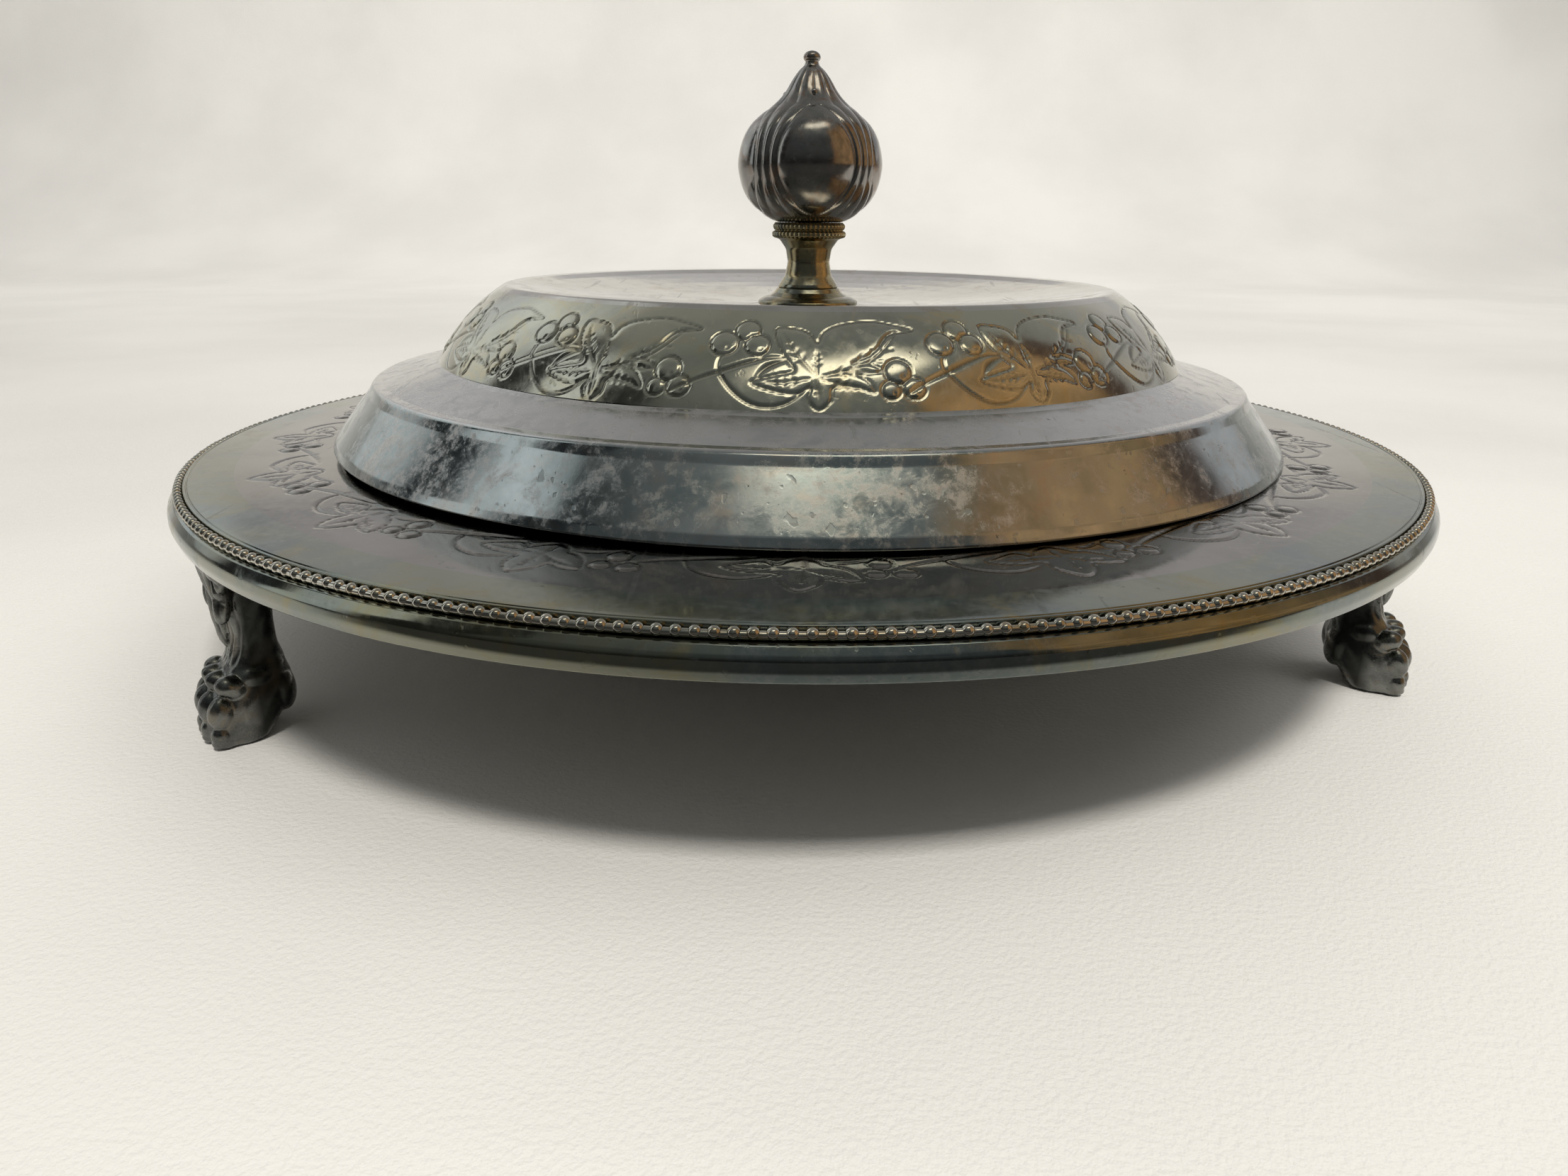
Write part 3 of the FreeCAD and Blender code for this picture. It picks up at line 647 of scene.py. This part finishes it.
def lid_pieces():
    tier = tier_profile(200)
    steps = np.concatenate([[0], np.cumsum(np.linalg.norm(np.diff(tier, axis=0), axis=1))])
    even = np.linspace(VINE_START, steps[-1] - VINE_END, 60)
    band = np.stack([np.interp(even, steps, tier[:, 0]), np.interp(even, steps, tier[:, 1])], -1)
    span = TURN * (TIER_R + TIER_TOP_R) / 2 / TIER_REPEATS
    height, marks = engraved(TIER_VINE, TIER_REPEATS, span, 0.0, 0.22)
    ring = revolve(band, TIER_TURNS,
                   lambda a, s, r: fade(s, 0, s.max(), 0.5) * height(a, s + VINE_START, r))
    build("lid_engraved_tier", [ring], "lid", ["lid_shell"], TIER_METAL, marks[0],
          tilted=True)

    low, high = band[0], band[-1]
    skirt = rounded([
        (TIER_R - LID_WALL - 0.3, TIER_Z - LID_WALL + 0.5, 0.5),
        (TIER_R - LID_WALL, TIER_Z - LID_WALL, 0.6),
        (SHOULDER_R - LID_WALL, SHOULDER_Z - LID_WALL, 0.8),
        (SKIRT_R - LID_WALL, SKIRT_Z + 0.15, 0.1),
        (SKIRT_R - LID_WALL / 2, SKIRT_Z, 0.3),
        (SKIRT_R, SKIRT_Z + 0.25, 0.3),
        (SKIRT_R - 0.55, SKIRT_Z + 1.4, 1.5),
        (SHOULDER_R + 0.55, SHOULDER_Z - 1.3, 1.5),
        (SHOULDER_R - 0.2, SHOULDER_Z + 0.05, 0.9),
        (SHOULDER_R - 1.8, SHOULDER_Z + 0.15, 1.0),
        (TIER_R + 0.9, TIER_Z - 0.1, 0.6),
        (low[0], low[1]),
    ], 0.6)
    build("lid_skirt", [revolve(skirt, SKIRT_TURNS, skirt_wear)], "lid", ["lid_shell"],
          SKIRT_METAL, tilted=True)

    hollow = [(r, BOSS_Z + dished(r), 8.0) for r in (44.0, 40.0, 35.0, 30.0, 25.0, 20.0, 15.0)]
    top = rounded([(high[0], high[1]), (TIER_TOP_R - 0.1, TIER_TOP_Z + 0.02, 1.3),
                   (TIER_TOP_R - 1.9, TIER_TOP_Z - 0.1, 0.9)]
                  + hollow + [(BOSS_R + 0.4, BOSS_Z, 1.0), (0.01, BOSS_Z)], 0.8)
    build("lid_top", [revolve(top, TOP_TURNS, dents)], "lid", ["lid_shell"],
          TOP_METAL, tilted=True)

    roof = [(r, BOSS_Z - LID_WALL + dished(r), 8.0) for r in (15.0, 20.0, 25.0, 30.0, 35.0, 40.0)]
    inner_tier = tier_profile(16, LID_WALL)
    under = rounded([(0.01, BOSS_Z - LID_WALL), (BOSS_R, BOSS_Z - LID_WALL, 1.0)]
                    + roof
                    + [(inner_tier[-2][0] - 1.0, TIER_TOP_Z - LID_WALL - 0.5, 1.0)]
                    + [(r, z, 2.0) for r, z in inner_tier[-2:1:-1]]
                    + [(TIER_R - LID_WALL - 0.3, TIER_Z - LID_WALL + 0.5, 0.5)], 1.4)
    build("lid_inside", [revolve(under, INSIDE_TURNS)], "lid", ["lid_shell"],
          TOP_METAL, tilted=True)


def skirt_wear(angle, length, radius):
    """The skirt isn't quite true: long shallow waves run round it."""
    return (0.05 * np.sin(3 * angle + 0.6) + 0.035 * np.sin(7 * angle + 2.1)
            + 0.02 * np.sin(13 * angle + 4.0))


def dents(angle, length, radius):
    """A gentle unevenness over the lid's top, and five shallow dents."""
    x, y = radius * np.sin(angle), radius * np.cos(angle)
    h = 0.05 * np.sin(0.16 * x + 1.0) * np.cos(0.13 * y)
    for _ in range(5):
        cx, cy = RNG.uniform(-36, 36, 2)
        depth, spread = RNG.uniform(0.04, 0.1), RNG.uniform(6, 20)
        h = h - depth * np.exp(-((x - cx) ** 2 + (y - cy) ** 2) / spread)
    return h * np.clip((47 - radius) / 4, 0, 1) * np.clip((radius - 9) / 3, 0, 1)


# ---------------------------------------------------------------- the finial
BALL_LOW, BALL_HIGH = node_box("finial_ball")
BALL_Z0 = BALL_LOW[2]
LOBE_TURN = math.radians(4.5)
LOBES = 4


def ball_shape(angle, r, z):
    """Four plain oval lobes with three narrow reeds between each pair, which run up into the spire."""
    pitch = TURN / LOBES
    off = (angle - LOBE_TURN + pitch / 2) % pitch - pitch / 2
    t = (z - BALL_Z0) / (BALL_HIGH[2] - BALL_Z0)
    middle, reach = 0.355, 0.31
    oval = np.sqrt(np.clip(1 - ((t - middle) / reach) ** 2, 0, 1))
    half = math.radians(33) * oval + 1e-4
    body = np.clip((t - 0.01) / 0.06, 0, 1) * np.clip((0.93 - t) / 0.1, 0, 1)
    inside_lobe = np.abs(off) < half
    lobe = 0.62 * oval * np.sqrt(np.clip(1 - (off / half) ** 2, 0, 1))
    share = np.clip((np.abs(off) - half) / (pitch / 2 - half), 0, 1)
    reed = np.abs(np.sin(math.pi * (1.5 * share))) ** 0.7
    rise = np.where(inside_lobe, lobe, 0.36 * reed) - 0.40
    small = np.clip(r / 6.0, 0.12, 1.0)
    return r + rise * body * small, z


def finial_pieces():
    shape = smooth_curve([
        (5.0, 63.2), (6.1, 63.55), (7.6, 64.4), (9.3, 65.9), (10.5, 68.0), (11.1, 70.6), (11.1, 72.6),
        (10.5, 75.2), (9.4, 77.3), (7.7, 79.0), (6.1, 80.15), (4.95, 81.2), (4.05, 82.3), (3.35, 83.4),
        (2.75, 84.3), (2.0, 85.2), (1.25, 85.9), (1.05, 86.3)], 7)
    tip = [(1.33 * math.cos(a), 87.1 + 0.95 * math.sin(a)) for a in np.linspace(-0.7, math.pi / 2, 12)]
    tip = np.array([(max(r, 0.01), z) for r, z in tip])
    profile = np.vstack([[(0.01, 63.2)], shape, tip])
    profile[:, 1] += np.interp(profile[:, 1], (80.0, 88.0), (0.0, -0.15))
    ball = revolve(profile, BALL_TURNS, modulate=ball_shape)
    lat, lon = np.meshgrid(np.linspace(-1.57, 1.57, 13), np.linspace(0, TURN, 18, endpoint=False),
                           indexing="ij")
    bead = np.stack([np.cos(lat) * np.cos(lon), np.cos(lat) * np.sin(lon), np.sin(lat)], -1)[:, ::-1]
    drops = []
    for k in range(LOBES):
        a = LOBE_TURN + k * TURN / LOBES
        centre = np.array([4.0 * math.sin(a), -4.0 * math.cos(a), 81.7])
        drops.append(bead * (0.62 if k == 0 else 0.4) + centre)
    build("finial_lobed_ball", [ball] + drops, "lid", ["finial_ball"], BALL_METAL,
          tilted=True)

    stem = rounded([
        (0.01, 53.1), (4.95, 53.1, 0.2), (4.7, 53.7, 0.4), (3.8, 55.0, 1.2), (3.38, 57.2, 2.0),
        (3.75, 59.2, 1.2), (4.7, 60.5, 0.5), (5.2, 60.75, 0.15), (5.85, 61.05, 0.3), (5.9, 61.65, 0.3),
        (5.25, 61.95, 0.12), (5.6, 62.15, 0.2), (5.8, 62.65, 0.3), (5.35, 63.15, 0.2), (0.01, 63.2)], 0.3)
    build("finial_waist", [revolve(stem, STEM_TURNS, collar_ribs)], "lid", ["finial_stem"],
          STEM_METAL, tilted=True)

    foot = rounded([
        (0.01, 50.2), (7.75, 50.2, 0.15), (8.15, 50.55, 0.3), (8.1, 51.1, 0.4), (7.3, 51.55, 0.4),
        (6.9, 51.7, 0.15), (6.3, 51.85, 0.3), (5.5, 52.4, 0.6), (5.0, 53.1, 0.2), (0.01, 53.1)], 0.3)
    build("finial_bell_foot", [revolve(foot, BELL_TURNS)], "lid", ["finial_foot"],
          STEM_METAL, tilted=True)


def collar_ribs(angle, length, radius):
    """Fine ribs round the widest part of the stem's collar."""
    return np.where(radius > 5.35, 0.07 * np.cos(48 * angle), 0)


# ---------------------------------------------------------------- stud, washer, nut and liner
def hidden_pieces():
    """These nodes are shown as packed, so they only get a material."""
    for node in ("finial_stud", "finial_washer", "finial_nut"):
        paint(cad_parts[node].data, BRASS)
    paint(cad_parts["glass_liner"].data, GLASS)


# ---------------------------------------------------------------- the feet
# Sections of the leg and paw, and of the ears under the rim: height, front, back and half width.
FOOT_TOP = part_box("foot_rear")[1][2] / MM
PAW_VOXEL = 0.2
TOE_PITCH = 2.8
LEG = ((0.02, 94.6, 88.9, 4.6), (0.7, 95.5, 88.2, 5.2), (2.4, 95.7, 87.0, 5.4), (4.4, 95.4, 85.7, 5.4),
       (6.0, 94.8, 85.0, 5.2), (7.6, 93.9, 84.9, 4.8), (9.2, 92.7, 85.2, 4.3), (11.0, 91.6, 85.6, 3.8),
       (13.5, 91.0, 85.9, 3.6), (16.5, 91.1, 85.8, 3.8), (19.5, 91.5, 85.6, 4.4), (22.5, 92.0, 85.5, 5.0),
       (25.0, 92.4, 85.5, 5.6), (FOOT_TOP, 92.6, 85.5, 6.2))
EARS = ((17.2, 92.0, 90.6, 3.2), (19.0, 92.3, 90.4, 4.7), (21.0, 92.7, 90.3, 6.4), (23.0, 93.0, 90.2, 7.9),
        (25.2, 93.1, 90.0, 8.8), (FOOT_TOP, 93.1, 89.6, 9.0))


def loft(bm, sections, square=3.2, steps=5, around=40):
    """A closed loft through rounded-square sections, added to a bmesh."""
    rows = smooth_curve(sections, steps)
    turn = np.arange(around) / around * TURN
    across = np.sign(np.cos(turn)) * np.abs(np.cos(turn)) ** (2 / square)
    deep = np.sign(np.sin(turn)) * np.abs(np.sin(turn)) ** (2 / square)
    rings = []
    for z, front, back, half in rows:
        middle, depth = (front + back) / 2, (front - back) / 2
        rings.append([bm.verts.new((half * c, middle + depth * d, z)) for c, d in zip(across, deep)])
    for low, high in zip(rings, rings[1:]):
        for j in range(around):
            k = (j + 1) % around
            bm.faces.new((low[j], low[k], high[k], high[j]))
    bm.faces.new(rings[0][::-1])
    bm.faces.new(rings[-1])


def blob(bm, at, size, turn=0.0, rows=14, cols=20):
    """An ellipsoid tipped about the across axis, added to a bmesh."""
    c, s = math.cos(turn), math.sin(turn)
    tip = Matrix(((1, 0, 0), (0, c, -s), (0, s, c))).to_4x4()
    place_at = Matrix.Translation(at) @ tip @ Matrix.Diagonal((*size, 1.0))
    bmesh.ops.create_uvsphere(bm, u_segments=cols, v_segments=rows, radius=1.0, matrix=place_at)


def foot_mesh():
    """One cast foot: across = X, outwards = Y, up = Z, in mm. Returns points, mesh and darkness: dark in the
    grooves and hollows, and painted shade on the flanks.
    """
    bm = bmesh.new()
    loft(bm, LEG)
    loft(bm, EARS)
    for k in (-1.5, -0.5, 0.5, 1.5):
        x = k * TOE_PITCH
        back = 0.45 * abs(k) ** 1.5
        blob(bm, (x * 0.96, 93.3 - back, 7.9), (1.4, 1.9, 1.5), 0.5)
        blob(bm, (x * 1.03, 94.9 - back, 4.9), (1.42, 1.55, 2.2), 0.2)
        blob(bm, (x * 1.03, 95.3 - back, 1.8), (1.25, 1.25, 1.6), 0.0)
        blob(bm, (x, 95.0 - back, 0.9), (1.2, 1.6, 0.88), 0.0)
    for side in (-1, 1):
        blob(bm, (side * 3.3, 89.3, 8.4), (1.6, 2.6, 1.8))
        blob(bm, (side * 2.4, 86.6, 5.9), (2.6, 1.9, 3.2))
        blob(bm, (side * 6.9, 91.9, 24.4), (1.7, 1.3, 1.6))
        blob(bm, (side * 3.9, 91.6, 18.6), (0.9, 1.0, 2.4), 0.1)
    blob(bm, (0, 91.7, 17.5), (1.2, 0.9, 5.5), -0.05)
    me = bpy.data.meshes.new("foot_sculpt")
    bm.to_mesh(me)
    bm.free()
    ob = bpy.data.objects.new("foot_sculpt", me)
    bpy.context.scene.collection.objects.link(ob)
    remesh = ob.modifiers.new("remesh", "REMESH")
    remesh.mode, remesh.voxel_size, remesh.use_smooth_shade = "VOXEL", PAW_VOXEL, True
    soften = ob.modifiers.new("soften", "SMOOTH")
    soften.factor, soften.iterations = 0.5, 3
    graph = bpy.context.evaluated_depsgraph_get()
    got = bpy.data.meshes.new_from_object(ob.evaluated_get(graph))
    bpy.data.objects.remove(ob)
    co = np.empty(len(got.vertices) * 3)
    got.vertices.foreach_get("co", co)
    co = co.reshape(-1, 3)
    nor = np.empty(len(got.vertices) * 3)
    got.vertices.foreach_get("normal", nor)
    nor = nor.reshape(-1, 3)
    x, y, z = co.T
    front = np.clip((nor[:, 1] - 0.1) / 0.45, 0, 1)
    leg = np.clip((z - 9.8) / 2, 0, 1) * np.clip((24.0 - z) / 2, 0, 1)
    fur = np.cos(TURN * (x / 1.25 + 0.14 * np.sin(z * 0.4)) + 0.6 * np.sin(z * 0.7 + x))
    lift = 0.19 * fur * leg * front
    hollow = np.clip(1 - np.hypot((np.abs(x) - 5.6) / 1.5, (z - 22.6) / 1.9), 0, 1)
    lift -= 0.7 * hollow * np.clip(nor[:, 1] / 0.3, 0, 1)
    lift += (0.04 * np.sin(1.9 * x + 0.6 * z) * np.sin(1.3 * z + y)
             + 0.03 * np.sin(2.9 * y + 1.7 * z))
    co = co + nor * lift[:, None]
    co[:, 1] = np.minimum(co[:, 1], TOE_R)
    co[:, 2] = np.clip(co[:, 2], 0.02, FOOT_TOP - 0.02)
    # Painted shade: faces turned to the sides, behind the front face, are painted near black for the shade
    # they sit in.
    painted_flank_shade = np.clip((np.abs(nor[:, 0]) - 0.55) / 0.3, 0, 1) * np.clip((91.5 - y) / 2, 0, 1)
    return co, got, np.clip(np.maximum(-lift * 4, painted_flank_shade), 0, 1)


def feet():
    """The three feet are copies of one, turned about the dish's axis."""
    co, got, dark = foot_mesh()
    for node, azimuth in FOOT_NODES.items():
        a = math.radians(azimuth)
        out = np.array([math.cos(a), math.sin(a), 0])
        side = np.array([math.sin(a), -math.cos(a), 0])
        world = co[:, :1] * side + co[:, 1:2] * out + co[:, 2:] * np.array([0, 0, 1.0])
        me = got.copy()
        me.name = node + "_paw"
        me.vertices.foreach_set("co", (world * MM).astype(np.float32).ravel())
        me.update()
        # The cut attribute carries the grooves' darkness and the painted shade on the flanks.
        layer = me.attributes.new("cut", "FLOAT", "POINT")
        layer.data.foreach_set("value", dark.astype(np.float32))
        place(node + "_paw", me, "dish", [node], CAST_METAL)


dish_pieces()
beads()
lid_pieces()
finial_pieces()
hidden_pieces()
feet()


# ---------------------------------------------------------------- stage, light and camera
CLOTH_COLOUR = (0.73, 0.715, 0.68)
# Reflections see a dark floor ahead of the dish: full up to the first y, gone at the second, in metres.
DARK_FLOOR_FULL, DARK_FLOOR_GONE = -0.125, -0.08


def stage_material(name, colour):
    mat, g, at = new_material(name)
    soft = g.noise(at, 5.0, 4.0, 0.5)
    tone = g.mix(g.band(soft, 0.3, 0.7), rgb(*colour), rgb(*(c * 0.9 for c in colour)))
    along = g.add("ShaderNodeSeparateXYZ", {0: at}).outputs[1]
    ahead = g.band(along, DARK_FLOOR_FULL, DARK_FLOOR_GONE, 1.0, 0.0)
    mirrored = g.math("MULTIPLY", ahead, g.add("ShaderNodeLightPath").outputs["Is Glossy Ray"])
    tone = g.mix(mirrored, tone, rgb(0.05, 0.05, 0.05))
    fine = g.noise(at, 1400.0, 2.0, 0.6)
    slow = g.noise(at, 14.0, 4.0, 0.5)
    height = g.math("ADD", fine, g.math("MULTIPLY", slow, 6.0))
    bump = g.add("ShaderNodeBump", {"Height": height, "Strength": 0.35, "Distance": 0.0006})
    shader = g.add("ShaderNodeBsdfPrincipled", {"Base Color": tone, "Roughness": 0.9,
                                                "Normal": bump.outputs[0]})
    g.output(shader)
    return mat


def make_stage():
    """A pale floor that curves up into a low backdrop behind the object."""
    wall_y, wall_top, bend, half = 1.35, 0.42, 0.38, 4.0
    path = [(-4.0, 0.0), (-0.6, 0.0), (0.6, 0.0)]
    for k in range(13):
        a = k / 12 * math.pi / 2
        path.append((wall_y - bend + bend * math.sin(a), bend - bend * math.cos(a)))
    path.append((wall_y, wall_top))
    xs = np.linspace(-half, half, 9)
    verts = [(x, y, z) for y, z in path for x in xs]
    n = len(xs)
    faces = [(i * n + j, i * n + j + 1, (i + 1) * n + j + 1, (i + 1) * n + j)
             for i in range(len(path) - 1) for j in range(n - 1)]
    me = bpy.data.meshes.new("stage_floor")
    me.from_pydata(verts, [], faces)
    me.polygons.foreach_set("use_smooth", [True] * len(faces))
    me.materials.append(stage_material("stage_cloth", CLOTH_COLOUR))
    ob = bpy.data.objects.new("stage_floor", me)
    bpy.context.scene.collection.objects.link(ob)


# Upright stripes of the reflected room, left of the camera: azimuth from and to, and brightness.
STRIPES = ((-76, -57, 0.03), (-97, -77, 0.95), (-112, -98, 0.04), (-150, -114, 0.9))
LAMP_COLOUR = rgb(2.6, 2.4, 1.95)


def make_world():
    """Pale all round for the camera and the floor, and a dim room that only reflections see, with
    stripes on the left, brown on the right and a lamp high in front. Angles are in degrees."""
    world = bpy.data.worlds.new("studio")
    bpy.context.scene.world = world
    world.use_nodes = True
    g = Graph(world.node_tree)
    way = g.add("ShaderNodeTexCoord").outputs["Generated"]
    x, y, z = g.add("ShaderNodeSeparateXYZ", {0: way}).outputs
    azimuth = g.math("ARCTAN2", x, g.math("MULTIPLY", y, -1.0))
    rise = g.math("ARCSINE", z)
    deg = math.radians
    front = g.mix(g.band(rise, deg(4), deg(30)), rgb(0.030, 0.030, 0.028), rgb(0.10, 0.11, 0.11))
    front = g.mix(g.band(rise, deg(34), deg(56)), front, rgb(0.21, 0.225, 0.22))
    back = g.mix(g.band(rise, deg(18), deg(50)), rgb(0.58, 0.57, 0.57), rgb(0.30, 0.30, 0.29))
    room = g.mix(g.band(y, -0.15, 0.35), front, back)
    for start, end, tone in STRIPES:
        stripe = g.sector(azimuth, start - 1, start + 1, end - 1, end + 1)
        stripe = g.math("MULTIPLY", stripe, g.band(rise, deg(44), deg(58), 1, 0))
        room = g.mix(stripe, room, rgb(tone * 0.96, tone, tone))
    cloudy = g.noise(way, 3.2, 3.0, 0.55)
    room = g.mix(g.band(cloudy, 0.45, 0.72, 0.0, 0.3), room, rgb(0.045, 0.045, 0.042))
    brown = g.sector(azimuth, 41, 43, 111, 116)
    brown = g.math("MULTIPLY", brown, g.band(rise, deg(52), deg(60), 1, 0))
    streak = g.band(g.noise(way, 7.0, 2.0, 0.5), 0.4, 0.62)
    wood = g.mix(streak, rgb(0.62, 0.38, 0.19), rgb(0.32, 0.21, 0.11))
    wood = g.mix(g.band(azimuth, deg(99), deg(104)), wood, rgb(0.11, 0.075, 0.06))
    room = g.mix(brown, room, wood)
    lamp = g.sector(azimuth, -40, -15, 60, 84)
    lamp = g.math("MULTIPLY", lamp, g.band(rise, deg(61), deg(66)))
    lamp = g.math("MULTIPLY", lamp, g.band(rise, deg(71), deg(79), 1, 0))
    room = g.mix(lamp, room, LAMP_COLOUR)
    pale = g.mix(g.band(rise, deg(-5), deg(50)), rgb(0.62, 0.60, 0.57), rgb(0.86, 0.845, 0.82))
    dome = g.mix(g.band(rise, deg(0), deg(55)), rgb(0.08, 0.08, 0.082), rgb(0.46, 0.45, 0.435))
    path = g.add("ShaderNodeLightPath").outputs
    colour = g.mix(path["Is Diffuse Ray"], pale, dome)
    colour = g.mix(path["Is Glossy Ray"], colour, room)
    shader = g.add("ShaderNodeBackground", {"Color": colour, "Strength": 1.0})
    g.output(shader, "ShaderNodeOutputWorld")


def area_light(name, azimuth, rise, distance, size, power, colour, aim=(0, 0, 0.04)):
    """A lamp seen from its aim at an azimuth and rise in degrees. Reflections don't show it: they
    show the world's lamp instead."""
    data = bpy.data.lights.new(name, "AREA")
    data.shape = "RECTANGLE"
    data.size, data.size_y = size
    data.energy = power
    data.color = colour
    ob = bpy.data.objects.new(name, data)
    a, e = math.radians(azimuth), math.radians(rise)
    way = Vector((math.sin(a) * math.cos(e), -math.cos(a) * math.cos(e), math.sin(e)))
    ob.location = Vector(aim) + way * distance
    ob.rotation_mode = "QUATERNION"
    ob.rotation_quaternion = way.to_track_quat("Z", "Y")
    ob.visible_glossy = False
    bpy.context.scene.collection.objects.link(ob)


# The camera fitted to the photograph: place in metres, angles in degrees and focal length in mm.
CAMERA_AT = (-0.00248, -0.17570, 0.06334)
CAMERA_PITCH, CAMERA_ROLL, CAMERA_LENS = 19.54, -0.265, 23.61


def make_camera():
    """The photograph's camera, close to the dish and looking down, with a wide phone lens."""
    data = bpy.data.cameras.new("camera")
    data.sensor_width, data.lens = 36.0, CAMERA_LENS
    data.clip_start, data.clip_end = 0.01, 20.0
    ob = bpy.data.objects.new("camera", data)
    pitch, roll = math.radians(CAMERA_PITCH), math.radians(CAMERA_ROLL)
    across, up = Vector((1, 0, 0)), Vector((0, math.sin(pitch), math.cos(pitch)))
    ahead = Vector((0, math.cos(pitch), -math.sin(pitch)))
    right = across * math.cos(roll) - up * math.sin(roll)
    top = across * math.sin(roll) + up * math.cos(roll)
    turn = Matrix((right, top, -ahead)).transposed().to_4x4()
    ob.matrix_world = Matrix.Translation(CAMERA_AT) @ turn
    bpy.context.scene.collection.objects.link(ob)
    bpy.context.scene.camera = ob


make_stage()
make_world()
area_light("key", 9, 57, 0.95, (0.20, 0.13), 7.2, (1.0, 0.97, 0.92))
area_light("soft_right", 70, 58, 1.6, (0.9, 0.9), 5.0, (1.0, 0.98, 0.96))
area_light("backdrop", 0, 60, 0.9, (2.4, 0.5), 11.0, (1.0, 0.99, 0.97), (0, 1.25, 0.2))
make_camera()
bpy.context.scene.view_settings.view_transform = "Standard"
